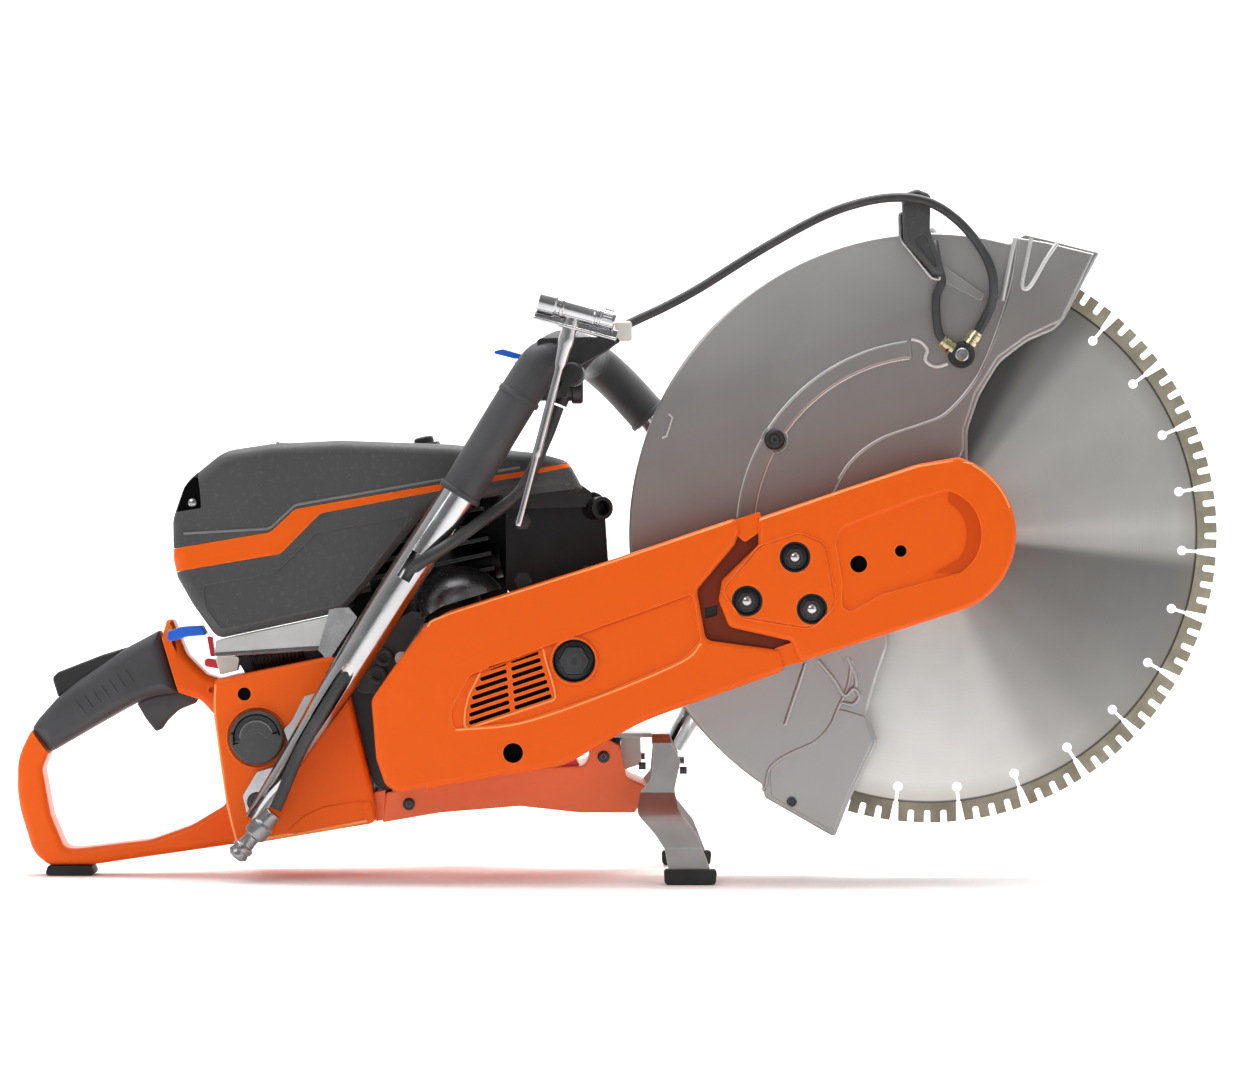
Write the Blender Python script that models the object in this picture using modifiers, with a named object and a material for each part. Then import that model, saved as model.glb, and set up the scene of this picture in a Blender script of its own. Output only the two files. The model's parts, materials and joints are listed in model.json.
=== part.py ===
"""Concrete cut-off saw: a petrol power cutter with a 400 mm diamond blade, modelled as separate named parts.

Frame: +X forwards towards the blade, +Y to the operator's left, +Z up, ground at Z = 0.
The origin is the middle of the rear foot's underside. Every size below is in millimetres.
Outlines are lists of (x, z) or (x, z, corner radius) seen from the saw's right-hand side.
"""

import math

import bmesh
import bpy
from mathutils import Matrix, Vector

MM = 0.001
GAP = 0.35  # clearance between neighbouring pieces
FINE, MEDIUM, COARSE = 28, 20, 12  # sides of round pieces

# Blade and its spindle
BLADE_R, BLADE_T = 200.0, 3.6
BLADE_BORE_R = 12.7
SPINDLE_X, SPINDLE_Z, BLADE_Y = 597.5, 237.0, -18.4
SEGMENTS, SLOT_START = 27, math.radians(9.7)
SEGMENT_ROOT_R, TOOTH_ROOT_R, SLOT_END_R = 186.4, 191.5, 176.2
FLANGE_R, SPINDLE_R = 52.5, 9.7

# Engine, which stands nose-up by TILT on its front stand
CRANK_X, CRANK_Z, TILT = 266.0, 126.0, math.radians(12)
ENGINE_Y = 7.0
BORE_R, STROKE, THROW = 28.0, 38.0, 19.0
WEB_R, CHAMBER_R, CRANKCASE_R = 32.0, 36.0, 50.0
CASE_RIGHT_Y, CASE_LEFT_Y = -43.0, 57.0
SHAFT_R, BEARING_R = 8.0, 20.0
PISTON_BOTTOM, PISTON_TOP = 82.0, 124.0
HEAD_INNER, HEAD_TOP = 126.0, 134.0

# Belt drive: a 2 to 1 reduction from the clutch drum to the spindle
DRIVE_PULLEY_R, DRIVEN_PULLEY_R = 20.0, 40.0
BELT_T, BELT_LOW_Y, BELT_HIGH_Y = 4.6, -80.0, -67.0
COVER_FACE_Y, COVER_WALL, COVER_BACK_Y = -98.0, 2.5, -50.9
ARM_LOW_Y, ARM_HIGH_Y = -57.0, -51.0
HEAD_LOW_Y, HEAD_HIGH_Y = -50.6, -46.6
ARM_SLOPE = math.radians(18.5)
CLAMP_BOLTS = ((501.9, 221.6), (469.4, 191.8), (513.4, 186.4))
TENSIONER = (352.1, 151.2)

# Guard
GUARD_R, GUARD_WALL = 208.0, 2.6
GUARD_LOW_Y, GUARD_HIGH_Y = -43.6, 4.6
HOUSING_R = 30.6

# Body widths
TANK_RIGHT_Y, TANK_LEFT_Y = -58.0, 66.0
HANDLE_HALF = 17.0
HANDLE_TUBE_R, HANDLE_CORE_R, HANDLE_GRIP_R = 12.5, 10.0, 14.3
STAND_LEG_Y = 98.0

COLOURS = {  # red, green, blue, roughness, metallic
    "orange_plastic": (0.90, 0.20, 0.02, 0.35, 0.0),
    "dark_orange_plastic": (0.72, 0.13, 0.03, 0.42, 0.0),
    "charcoal_plastic": (0.07, 0.07, 0.07, 0.55, 0.0),
    "grip_rubber": (0.09, 0.09, 0.10, 0.80, 0.0),
    "foot_rubber": (0.015, 0.015, 0.015, 0.85, 0.0),
    "black_plastic": (0.02, 0.02, 0.02, 0.50, 0.0),
    "blue_plastic": (0.01, 0.16, 0.75, 0.35, 0.0),
    "red_plastic": (0.65, 0.02, 0.02, 0.40, 0.0),
    "guard_paint": (0.22, 0.21, 0.21, 0.38, 0.6),
    "cast_aluminium": (0.55, 0.55, 0.56, 0.45, 0.9),
    "bright_steel": (0.62, 0.62, 0.63, 0.25, 1.0),
    "brushed_steel": (0.58, 0.58, 0.58, 0.32, 1.0),
    "dark_steel": (0.13, 0.13, 0.13, 0.45, 0.8),
    "black_steel": (0.02, 0.02, 0.02, 0.60, 0.4),
    "brass": (0.72, 0.50, 0.18, 0.30, 1.0),
    "filter_foam": (0.80, 0.74, 0.55, 0.95, 0.0),
}


# ---------------------------------------------------------------- scene and materials


def clear_scene():
    for obj in list(bpy.data.objects):
        bpy.data.objects.remove(obj, do_unlink=True)


def saw_collection():
    collection = bpy.data.collections.new("cut_off_saw")
    bpy.context.scene.collection.children.link(collection)
    return collection


def material(slot):
    found = bpy.data.materials.get(slot)
    if found:
        return found
    red, green, blue, roughness, metallic = COLOURS[slot]
    made = bpy.data.materials.new(slot)
    made.use_nodes = True
    shader = made.node_tree.nodes["Principled BSDF"]
    shader.inputs["Base Color"].default_value = (red, green, blue, 1)
    shader.inputs["Roughness"].default_value = roughness
    shader.inputs["Metallic"].default_value = metallic
    made.diffuse_color = (red, green, blue, 1)
    return made


def finish(obj, name, slot, pivot=None):
    """Names a piece, gives it its material and, if it moves, puts its origin on its joint's axis."""
    obj.name = obj.data.name = name
    obj.data.materials.clear()
    obj.data.materials.append(material(slot))
    if pivot:
        place = Vector(pivot) * MM
        obj.data.transform(Matrix.Translation(-place))
        obj.location = place
    obj.data.shade_smooth()
    obj.data.set_sharp_from_angle(angle=math.radians(35))
    return obj


# ---------------------------------------------------------------- outlines


def fillet(before, corner, after, radius, steps):
    """Points of the arc that rounds one corner."""
    here = Vector(corner[:2])
    back, ahead = Vector(before[:2]) - here, Vector(after[:2]) - here
    room = 0.45 * min(back.length, ahead.length)
    back.normalize()
    ahead.normalize()
    half = back.angle(ahead) / 2
    if radius <= 0 or half > math.radians(88):
        return [tuple(here)]
    reach = min(radius / math.tan(half), room)
    radius = reach * math.tan(half)
    centre = here + (back + ahead).normalized() * radius / math.sin(half)
    start, end = here + back * reach - centre, here + ahead * reach - centre
    turn = start.angle_signed(end)
    return [
        tuple(centre + Matrix.Rotation(-turn * i / steps, 2) @ start)
        for i in range(steps + 1)
    ]


def rounded(corners, radius=0.0, steps=3):
    """A closed outline through the corners, each rounded by its own radius or by the common one."""
    points = []
    for i, corner in enumerate(corners):
        own = corner[2] if len(corner) > 2 else radius
        after = corners[(i + 1) % len(corners)]
        points += fillet(corners[i - 1], corner, after, own, steps)
    return points


def inset(corners, distance):
    """The outline moved inwards by distance, corner by corner."""
    area = sum(a[0] * b[1] - b[0] * a[1] for a, b in zip(corners, corners[1:] + corners[:1]))
    side = 1 if area > 0 else -1
    moved = []
    for i, corner in enumerate(corners):
        here = Vector(corner[:2])
        along = (here - Vector(corners[i - 1][:2])).normalized()
        onward = (Vector(corners[(i + 1) % len(corners)][:2]) - here).normalized()
        normal = Vector((-along.y, along.x)) + Vector((-onward.y, onward.x))
        scale = 2 / max(normal.length_squared, 0.6)
        moved.append((*(here + normal * side * distance * scale), *corner[2:]))
    return moved


def arc(centre_x, centre_z, radius, start_deg, end_deg, steps):
    """Points on an arc, counter-clockwise when end_deg is the larger."""
    return [
        (
            centre_x + radius * math.cos(math.radians(start_deg + (end_deg - start_deg) * i / steps)),
            centre_z + radius * math.sin(math.radians(start_deg + (end_deg - start_deg) * i / steps)),
        )
        for i in range(steps + 1)
    ]


# ---------------------------------------------------------------- solids


def new_object(name, mesh):
    obj = bpy.data.objects.new(name, mesh)
    SAW.objects.link(obj)
    return obj


def baked(obj, loose=True):
    """The object as a plain mesh in world space, with its modifiers or curve made real."""
    bpy.context.view_layer.update()
    seen = obj.evaluated_get(bpy.context.evaluated_depsgraph_get())
    mesh = bpy.data.meshes.new_from_object(seen)
    mesh.transform(obj.matrix_world)
    name = obj.name
    bpy.data.objects.remove(obj, do_unlink=True)
    bm = bmesh.new()
    bm.from_mesh(mesh)
    bmesh.ops.remove_doubles(bm, verts=bm.verts, dist=0.002 * MM)
    if loose:
        bmesh.ops.recalc_face_normals(bm, faces=bm.faces)
    else:
        bmesh.ops.dissolve_degenerate(bm, dist=0.002 * MM, edges=bm.edges)
    bm.to_mesh(mesh)
    bm.free()
    return new_object(name, mesh)


def plate(outline, low_y, high_y, holes=()):
    """A flat outline in XZ with its thickness along Y."""
    curve = bpy.data.curves.new("plate", "CURVE")
    curve.dimensions = "2D"
    curve.fill_mode = "BOTH"
    curve.extrude = (high_y - low_y) / 2 * MM
    for ring in (outline, *holes):
        spline = curve.splines.new("POLY")
        spline.points.add(len(ring) - 1)
        for point, (x, z) in zip(spline.points, ring):
            point.co = (x * MM, z * MM, 0, 1)
        spline.use_cyclic_u = True
    obj = new_object("plate", curve)
    obj.rotation_euler = (math.pi / 2, 0, 0)
    obj.location = (0, (low_y + high_y) / 2 * MM, 0)
    return baked(obj)


def lathe(profile, centre, axis=(0, 1, 0), steps=MEDIUM):
    """A profile of (radius, height) turned about an axis. A ring's profile comes back to its first point."""
    mesh = bpy.data.meshes.new("lathe")
    closed = profile[0] == profile[-1]
    points = profile[:-1] if closed else profile
    edges = [(i, i + 1) for i in range(len(points) - 1)]
    if closed:
        edges.append((len(points) - 1, 0))
    mesh.from_pydata([(r * MM, 0, h * MM) for r, h in points], edges, [])
    obj = new_object("lathe", mesh)
    screw = obj.modifiers.new("Screw", "SCREW")
    screw.steps = screw.render_steps = steps
    screw.use_merge_vertices = True
    screw.merge_threshold = 0.00001
    turn = Vector((0, 0, 1)).rotation_difference(Vector(axis))
    obj.matrix_world = Matrix.Translation(Vector(centre) * MM) @ turn.to_matrix().to_4x4()
    return baked(obj)


def ring(x, z, outer, inner, low_y, high_y, steps=MEDIUM):
    """A plain ring or, with no inner radius, a disc, about an axis along Y."""
    if inner:
        profile = [(outer, high_y), (outer, low_y), (inner, low_y), (inner, high_y), (outer, high_y)]
    else:
        profile = [(0, high_y), (outer, high_y), (outer, low_y), (0, low_y)]
    return lathe(profile, (x, 0, z), steps=steps)


def rod(start, end, radius, sides=COARSE, end_radius=None):
    """A round bar between two points."""
    a, b = Vector(start) * MM, Vector(end) * MM
    mesh = bpy.data.meshes.new("rod")
    bm = bmesh.new()
    bmesh.ops.create_cone(
        bm,
        cap_ends=True,
        segments=sides,
        radius1=radius * MM,
        radius2=(radius if end_radius is None else end_radius) * MM,
        depth=(b - a).length,
    )
    turn = Vector((0, 0, 1)).rotation_difference(b - a)
    place = Matrix.Translation((a + b) / 2) @ turn.to_matrix().to_4x4()
    bmesh.ops.transform(bm, matrix=place, verts=bm.verts)
    bm.to_mesh(mesh)
    bm.free()
    return new_object("rod", mesh)


def box(low, high, frame=None):
    """A block between two corners, in world axes or in the given frame."""
    low, high = Vector(low) * MM, Vector(high) * MM
    mesh = bpy.data.meshes.new("box")
    bm = bmesh.new()
    size = Matrix.Diagonal((*(high - low), 1))
    place = Matrix.Translation((low + high) / 2) @ size
    bmesh.ops.create_cube(bm, size=1, matrix=(frame or Matrix()) @ place)
    bm.to_mesh(mesh)
    bm.free()
    return new_object("box", mesh)


def tube(points, radius, sides=12, widths=None, closed=False):
    """A round tube along points; widths scale its radius point by point."""
    curve = bpy.data.curves.new("tube", "CURVE")
    curve.dimensions = "3D"
    curve.bevel_depth = radius * MM
    curve.bevel_resolution = (sides - 4) // 2
    curve.use_fill_caps = not closed
    spline = curve.splines.new("POLY")
    spline.points.add(len(points) - 1)
    spline.use_cyclic_u = closed
    for i, (point, place) in enumerate(zip(spline.points, points)):
        point.co = (*(Vector(place) * MM), 1)
        point.radius = widths[i] if widths else 1
    return baked(new_object("tube", curve))


def smooth_path(points, steps=4):
    """A Catmull-Rom curve through the points."""
    places = [Vector(p) for p in points]
    places = [2 * places[0] - places[1], *places, 2 * places[-1] - places[-2]]
    path = []
    for a, b, c, d in zip(places, places[1:], places[2:], places[3:]):
        for i in range(steps):
            t = i / steps
            bend = (2 * a - 5 * b + 4 * c - d) * t**2 + (3 * b - a - 3 * c + d) * t**3
            path.append(0.5 * (2 * b + (c - a) * t + bend))
    return [tuple(p) for p in [*path, places[-2]]]


def joined(first, *others):
    return combined(first, others, "UNION")


def cut(first, *others):
    return combined(first, others, "DIFFERENCE")


def common(first, *others):
    return combined(first, others, "INTERSECT")


def combined(first, others, operation):
    """A Boolean of solids, made real at once; the other solids are used up."""
    for other in others:
        modifier = first.modifiers.new(operation, "BOOLEAN")
        modifier.operation = operation
        modifier.solver = "EXACT"
        modifier.object = other
        first = baked(first, loose=False)
        bpy.data.objects.remove(other, do_unlink=True)
    return first


def bevelled(obj, width, segments=1, angle=40):
    modifier = obj.modifiers.new("Bevel", "BEVEL")
    modifier.width = width * MM
    modifier.segments = segments
    modifier.limit_method = "ANGLE"
    modifier.angle_limit = math.radians(angle)
    return baked(obj, loose=False)


# The engine's own frame: Z up the cylinder from the crank, X forwards.
ENGINE = Matrix.Translation(Vector((CRANK_X, 0, CRANK_Z)) * MM) @ Matrix.Rotation(-TILT, 4, "Y")


def around_crank(turn):
    """Frame on the crankshaft's axis, turned about it by a share of a full turn."""
    return Matrix.Translation(Vector((CRANK_X, 0, CRANK_Z)) * MM) @ Matrix.Rotation(turn * math.tau, 4, "Y")


def in_engine(x, y, height):
    """World place of a point given in the engine's frame."""
    return tuple(ENGINE @ (Vector((x, y, height)) * MM) / MM)


UP_CYLINDER = tuple(ENGINE.to_3x3() @ Vector((0, 0, 1)))


# ---------------------------------------------------------------- rear handle and tank

GRIP_REAR_TOP, GRIP_REAR_LOW = (-26.4, 101.2), (-13.9, 85.2)
GRIP_FRONT_TOP, GRIP_FRONT_LOW = (63.8, 166.5), (76.3, 126.9)
TANK_OUTLINE = [
    (104.3, 137.2, 5), (187.9, 154.3, 6), (198.2, 125.5, 20), (213.3, 61.8, 10),
    (217.0, 39.1, 6), (119.4, 22.8, 6), (112.4, 54, 4), (104.3, 112, 4),
]
TRIGGER_PIVOT = (84, 0, 124)
LOCKOUT_PIVOT = (38, 0, 153)
CAP_CENTRE = (134.4, 97.8)


def grip_core(spare):
    """The handle's core bar inside the grip, or the hole for it when spare is given."""
    start, end = Vector((-20.2, 93.2)), Vector((70.0, 151.5))
    along = (end - start).normalized()
    start, end = start - along * 5, end + along * 5
    across = Vector((-along.y, along.x)) * (5 + spare)
    corners = [start - across, end - across, end + across, start + across]
    return plate([tuple(c) for c in corners], -8 - spare, 8 + spare)


def rear_handle_tank():
    loop = rounded([
        (68, 178, 3), (64.8, 166.7), (22.2, 135.9), (-26.4, 101.2, 10), (-35.4, 82, 10), (-35.8, 52.6, 20),
        (-25, 16, 8), (-14.5, 7.2, 3), (15.2, 7.2, 8), (119.4, 22.2), (150, 27), (150, 140),
        (104.3, 137.2), (96, 139.7, 10), (82.1, 153.5, 8), (72, 178, 3),
    ])
    window = rounded([
        (-13.9, 85.2, 4), (-18.4, 74, 6), (-12.5, 42.2, 12), (-3, 19.5, 5), (6, 18.8, 8), (56.9, 24.8, 30),
        (84.7, 34.6, 20), (110.5, 50, 8), (104.4, 108, 6), (91.6, 122, 8), (76.3, 126.9),
    ])
    body = plate(loop, -HANDLE_HALF, HANDLE_HALF, [window])
    grip_zone = [
        (-34, 107), (-26.9, 101.6), (-14.2, 84.8), (-10, 78), (40, 100), (82, 122), (76.4, 127.1),
        (64.2, 167), (60, 172), (20, 145),
    ]
    body = cut(body, plate(grip_zone, -20, 20))
    body = joined(body, grip_core(0))
    body = joined(body, bevelled(plate(rounded(TANK_OUTLINE), TANK_RIGHT_Y, TANK_LEFT_Y), 2.5))
    cavity = plate(rounded(inset(TANK_OUTLINE, 4)), TANK_RIGHT_Y + 4, TANK_LEFT_Y - 4)
    filler = ring(*CAP_CENTRE, 15.5, 0, TANK_RIGHT_Y - 2, TANK_RIGHT_Y + 8)
    trigger_slot = plate([(70, 100), (70, 133), (95, 133), (95, 100)], -7.5, 7.5)
    blind_hole = ring(125.5, 127.5, 4.6, 0, TANK_RIGHT_Y - 2, TANK_RIGHT_Y + 3, 12)
    return cut(body, cavity, filler, trigger_slot, blind_hole)


def rear_grip():
    outline = rounded([
        (62.4, 170.4), (39.4, 157.9, 60), (6.4, 135.2, 60), (-8.2, 123.6, 40), (-21.6, 108.6, 12),
        (-26.1, 101.8, 3), (-13.6, 85.5, 3), (7.7, 97.6), (30, 110.4, 30), (46, 119.4, 20), (61, 124.8, 8),
        (75.8, 126.9),
    ])
    sleeve = bevelled(plate(outline, -18, 18), 4)
    sleeve = cut(sleeve, grip_core(GAP), plate(
        [(40, 90), (40, 125.5), (64, 136.5), (82, 134.5), (92, 126), (92, 90)], -7.5, 7.5))
    return cut(sleeve, plate([(-30, 108.5), (-30, 170), (48, 170), (48, 148.5), (-4, 116)], -8.7, 8.7))


def throttle_trigger():
    outline = rounded([
        (46.6, 119, 1), (52.5, 108.8), (59.8, 99.8, 2), (63.6, 101.4, 2), (68, 107.6, 12), (75.5, 114.6, 12),
        (88.5, 119.8, 3), (88, 127.6, 3), (78, 128.2, 3), (60, 125.2, 4), (50, 121.8, 2),
    ])
    return bevelled(plate(outline, -6.8, 6.8), 1)


def throttle_lockout():
    outline = rounded([
        (-12.4, 136.8, 3), (-8.4, 123.4, 1), (-3, 124.8, 2), (33, 149.5, 4), (42, 150.4, 2), (44.5, 154, 2),
        (40, 158.4, 2), (22.3, 152.8), (-8, 140.6, 3),
    ])
    return bevelled(plate(outline, -8, 8), 1)


def fuel_cap():
    face = TANK_RIGHT_Y - GAP
    cap = lathe(
        [(0, face + 8), (14.6, face + 8), (14.6, face), (18.6, face), (18.6, face - 5), (17.4, face - 6.5),
         (0, face - 6.5)],
        (CAP_CENTRE[0], 0, CAP_CENTRE[1]),
    )
    x, z = CAP_CENTRE
    grip_bar = plate([(x - 13, z - 3), (x + 13, z - 3), (x + 13, z + 3), (x - 13, z + 3)], face - 9, face - 6)
    return joined(cap, grip_bar)


def rear_foot():
    outline = rounded([(-17, 0, 2), (18.5, 0, 2), (15.5, 6.8), (-14.4, 6.8)])
    return plate(outline, -15, 15)


# ---------------------------------------------------------------- engine

BELLY = [
    (219.5, 38.6), (259, 45.4), (314.3, 50), (355.7, 45.4), (393.6, 45.4, 3), (403, 63.4, 4), (388, 69.5, 5),
    (383, 91.7, 6), (375, 96, 4), (366, 93.7, 5), (359.1, 77.9, 5), (300.5, 75.8), (222, 59.2),
]


def crankcase_guard():
    tray = plate(rounded(BELLY), -48, 60)
    hollow = plate([(227, 50.5), (259, 53.5), (314, 58), (353, 54), (353, 90), (222, 90)], -44, 56)
    return cut(tray, hollow)


def crankcase():
    case = ring(CRANK_X, CRANK_Z, CRANKCASE_R, 0, CASE_RIGHT_Y, CASE_LEFT_Y, FINE)
    case = joined(case, box((-44, CASE_RIGHT_Y + 3, 18), (44, CASE_LEFT_Y - 3, 52), ENGINE))
    case = joined(case, box((238, -18, 59), (292, 30, 90)))
    for angle in (38, 142, 218, 322):
        x, z = arc(CRANK_X, CRANK_Z, 42, angle, angle, 1)[0]
        case = joined(case, ring(x, z, 4.6, 0, ARM_HIGH_Y + GAP, CASE_RIGHT_Y + 4, 10))
    chamber = ring(CRANK_X, CRANK_Z, CHAMBER_R, 0, -18, 32)
    seats = [ring(CRANK_X, CRANK_Z, BEARING_R + GAP, 0, *span) for span in ((-60, -17), (31, 70))]
    mouth = rod(in_engine(0, ENGINE_Y, 20), in_engine(0, ENGINE_Y, 60), BORE_R + 1.5, MEDIUM)
    return cut(case, *seats, chamber, mouth)


def cylinder():
    barrel = lathe(
        [(0, HEAD_TOP), (33, HEAD_TOP), (33, 58), (42, 58), (42, 52.3), (0, 52.3)],
        in_engine(0, ENGINE_Y, 0), UP_CYLINDER, MEDIUM,
    )
    for i in range(6):
        height = 68 + i * 10.5
        barrel = joined(barrel, box((-36, ENGINE_Y - 43, height), (48, ENGINE_Y + 43, height + 2.4), ENGINE))
    exhaust = rod(in_engine(30, ENGINE_Y, 84), in_engine(52, ENGINE_Y, 84), 12, 12)
    intake = rod(in_engine(-30, ENGINE_Y, 92), in_engine(-40, ENGINE_Y, 92), 13, 12)
    bore = rod(in_engine(0, ENGINE_Y, 40), in_engine(0, ENGINE_Y, HEAD_INNER), BORE_R, MEDIUM)
    plug_hole = rod(in_engine(-6, ENGINE_Y, 120), in_engine(-6, ENGINE_Y, 140), 4.6, 8)
    valve_hole = rod(in_engine(17, ENGINE_Y + 6, 120), in_engine(17, ENGINE_Y + 6, 140), 3.6, 8)
    port = rod(in_engine(20, ENGINE_Y, 84), in_engine(54, ENGINE_Y, 84), 8, 12)
    inlet = rod(in_engine(-20, ENGINE_Y, 92), in_engine(-42, ENGINE_Y, 92), 8, 12)
    return cut(joined(barrel, exhaust, intake), bore, plug_hole, valve_hole, port, inlet)


def piston():
    skirt = BORE_R - 0.6
    body = lathe(
        [(0, PISTON_TOP), (skirt, PISTON_TOP), (skirt, PISTON_BOTTOM), (22, PISTON_BOTTOM),
         (22, PISTON_TOP - 7), (0, PISTON_TOP - 7)],
        in_engine(0, ENGINE_Y, 0), UP_CYLINDER, MEDIUM,
    )
    return joined(body, rod(in_engine(0, ENGINE_Y - 23, 98), in_engine(0, ENGINE_Y + 23, 98), 5.5, 12))


def connecting_rod():
    """The rod with its crank pin; its small end runs on the piston's gudgeon pin."""
    low, high = ENGINE_Y - 5, ENGINE_Y + 5
    big = rod(in_engine(0, low, THROW), in_engine(0, high, THROW), 13)
    small = rod(in_engine(0, low, 98), in_engine(0, high, 98), 10)
    shank = box((-5, low + 1, THROW), (5, high - 1, 98), ENGINE)
    pin = rod(in_engine(0, ENGINE_Y - 6.5, THROW), in_engine(0, ENGINE_Y + 6.5, THROW), 7.5)
    eye = rod(in_engine(0, low - 2, 98), in_engine(0, high + 2, 98), 5.5 + GAP, 12)
    return cut(joined(big, small, shank, pin), eye)


def crankshaft_right():
    """Clutch-side half: web, bearing seat and the long nose that carries the clutch."""
    return lathe(
        [(0, 0.2), (WEB_R, 0.2), (WEB_R, -15.5), (10, -15.5), (10, -36), (SHAFT_R, -36), (SHAFT_R, -86),
         (0, -86)],
        (CRANK_X, 0, CRANK_Z),
    )


def crankshaft_left():
    """Flywheel-side half."""
    return lathe(
        [(0, 88), (SHAFT_R, 88), (SHAFT_R, 52), (10, 52), (10, 29.5), (WEB_R, 29.5), (WEB_R, 13.8),
         (0, 13.8)],
        (CRANK_X, 0, CRANK_Z),
    )


def flywheel():
    disc = lathe(
        [(46, 67), (46, 61), (SHAFT_R + GAP, 61), (SHAFT_R + GAP, 80), (14, 80), (16, 67), (46, 67)],
        (CRANK_X, 0, CRANK_Z), steps=FINE,
    )
    for i in range(8):
        disc = joined(disc, box((20, 66, -1.2), (45, 77, 1.2), around_crank(i / 8)))
    return disc


def muffler():
    outline = rounded([
        (304.5, 256, 6), (310, 261, 6), (360, 262.5, 3), (364, 267, 3), (372, 264, 6), (376, 203, 8),
        (368, 196, 8), (312, 190, 8), (304.5, 200, 6),
    ])
    shell = plate(outline, -34, 58)
    outlet = rod((361, -25, 254.6), (371.4, -46, 255.2), 8, 20)
    inlet = rod((300, ENGINE_Y, 216.5), (330, ENGINE_Y, 218), 7.5, 16)
    return cut(joined(shell, outlet), inlet, rod((367.4, -38, 255), (374, -51.2, 255.3), 5.5, 16))


def carburetor():
    body = box((-76, ENGINE_Y - 18, 81), (-55, ENGINE_Y + 18, 104), ENGINE)
    neck = rod(in_engine(-57, ENGINE_Y, 92), in_engine(-40.5, ENGINE_Y, 92), 10.5, 12)
    throat = rod(in_engine(-78, ENGINE_Y, 92), in_engine(-38, ENGINE_Y, 92), 7.5, 12)
    return cut(joined(bevelled(body, 2), neck), throat)


def spark_plug():
    return lathe(
        [(0, 158), (7, 158), (8, 154), (8, 138), (10, 138), (10, 134.4), (4.2, 134.4), (4.2, 128), (0, 128)],
        in_engine(-6, ENGINE_Y, 0), UP_CYLINDER, 12,
    )


def decompression_valve():
    """A push button on a stem that stands up through the top cover."""
    return lathe(
        [(0, 180), (6, 180), (7, 178.5), (7, 172), (2.4, 172), (2.4, 141), (5.5, 141), (5.5, 138.5),
         (2.9, 138.5), (2.9, 129), (0, 129)],
        in_engine(17, ENGINE_Y + 6, 0), UP_CYLINDER, 12,
    )


# ---------------------------------------------------------------- covers above the engine

COVER = [
    (80.3, 205.7), (76.8, 219.4), (76.4, 246.9, 12), (85.1, 270.9, 20), (112.5, 293.5, 25), (143.3, 299),
    (191.3, 301.7, 60), (266.7, 299, 60), (328.4, 292.8), (347.6, 287.3, 8), (354.5, 274.3),
    (358.5, 266.9, 2), (301, 262.6), (253, 253.7, 10), (208.5, 198.9), (194.8, 184.2, 5),
    (105.6, 165.0, 5), (93, 182, 8),
]
STRIPE_TOP = [(60, 224.5), (143.3, 238.6, 6), (160.5, 254.6, 6), (253, 270.6), (314.7, 280.2), (380, 292)]
STRIPE_LOW = [(60, 208), (150.2, 223.3, 6), (177.6, 251.2, 6), (253, 265.5), (314.7, 276.5), (380, 289)]
COVER_RIGHT_Y, COVER_LEFT_Y, COVER_SHELL = -58.0, 72.0, 3.0


def cover_band(upper, lower, extra=0.0):
    """The slice of the cover's outer form between two edge lines."""
    whole = plate(rounded(COVER), COVER_RIGHT_Y - extra, COVER_LEFT_Y + extra)
    if not extra:
        whole = bevelled(whole, 5, 2, 60)
    return common(whole, plate([*upper, *reversed(lower)], -120, 120))


def edge_line(corners, shift=0.0):
    """An edge line with its corners rounded, moved up or down by shift."""
    points = []
    for i in range(len(corners)):
        if 0 < i < len(corners) - 1:
            own = corners[i][2] if len(corners[i]) > 2 else 0
            points += fillet(corners[i - 1], corners[i], corners[i + 1], own, 2)
        else:
            points.append(corners[i][:2])
    return [(x, z + shift) for x, z in points]


def cover_inside():
    return plate(rounded(inset(COVER, COVER_SHELL)), COVER_RIGHT_Y + COVER_SHELL, COVER_LEFT_Y - COVER_SHELL)


def top_cover():
    shell = cover_band([(60, 330), (380, 330)], edge_line(STRIPE_TOP, GAP / 2))
    valve = rod(in_engine(17, ENGINE_Y + 6, 140), in_engine(17, ENGINE_Y + 6, 190), 8)
    return cut(shell, cover_inside(), valve)


def cover_stripe():
    band = cover_band(edge_line(STRIPE_TOP, -GAP / 2), edge_line(STRIPE_LOW, GAP / 2))
    return cut(band, cover_inside())


def filter_housing():
    lower = cover_band(edge_line(STRIPE_LOW, -GAP / 2), [(60, 150), (380, 150)])
    engine_opening = plate(
        [(197, 189), (212, 160), (230, 150), (349, 150), (349, 271), (253, 262), (203, 203)],
        COVER_RIGHT_Y + COVER_SHELL + 1, COVER_LEFT_Y - COVER_SHELL - 1)
    intake_hole = rod(in_engine(-90, ENGINE_Y, 92), in_engine(-40, ENGINE_Y, 92), 15, 16)
    return cut(lower, cover_inside(), engine_opening, intake_hole)


def air_filter():
    outline = [(100, 181), (166, 195.5), (162, 236), (100, 224)]
    block = plate(outline, -46, 60)
    grooves = []
    for i in range(7):
        y = -38 + i * 14
        groove = plate([(104, 222), (162, 233), (162, 240), (104, 240)], y, y + 5)
        grooves.append(groove)
    return cut(block, *grooves)


def carburetor_bracket():
    outline = rounded([(105.5, 164.3, 2), (194.4, 183.4, 2), (184.3, 164.6, 3), (104.4, 153.6, 2)])
    return bevelled(plate(outline, -52, 62), 1)


def choke_lever():
    outline = rounded([(70.4, 169.5, 1), (89, 172.2), (89, 167.6), (73.1, 164.2, 1)])
    knob = plate([(x, z + 1) for x, z in outline], -40, -19)
    stem = box((80, -30, 169.5), (100, -26, 172.6))
    return joined(knob, stem)


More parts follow.
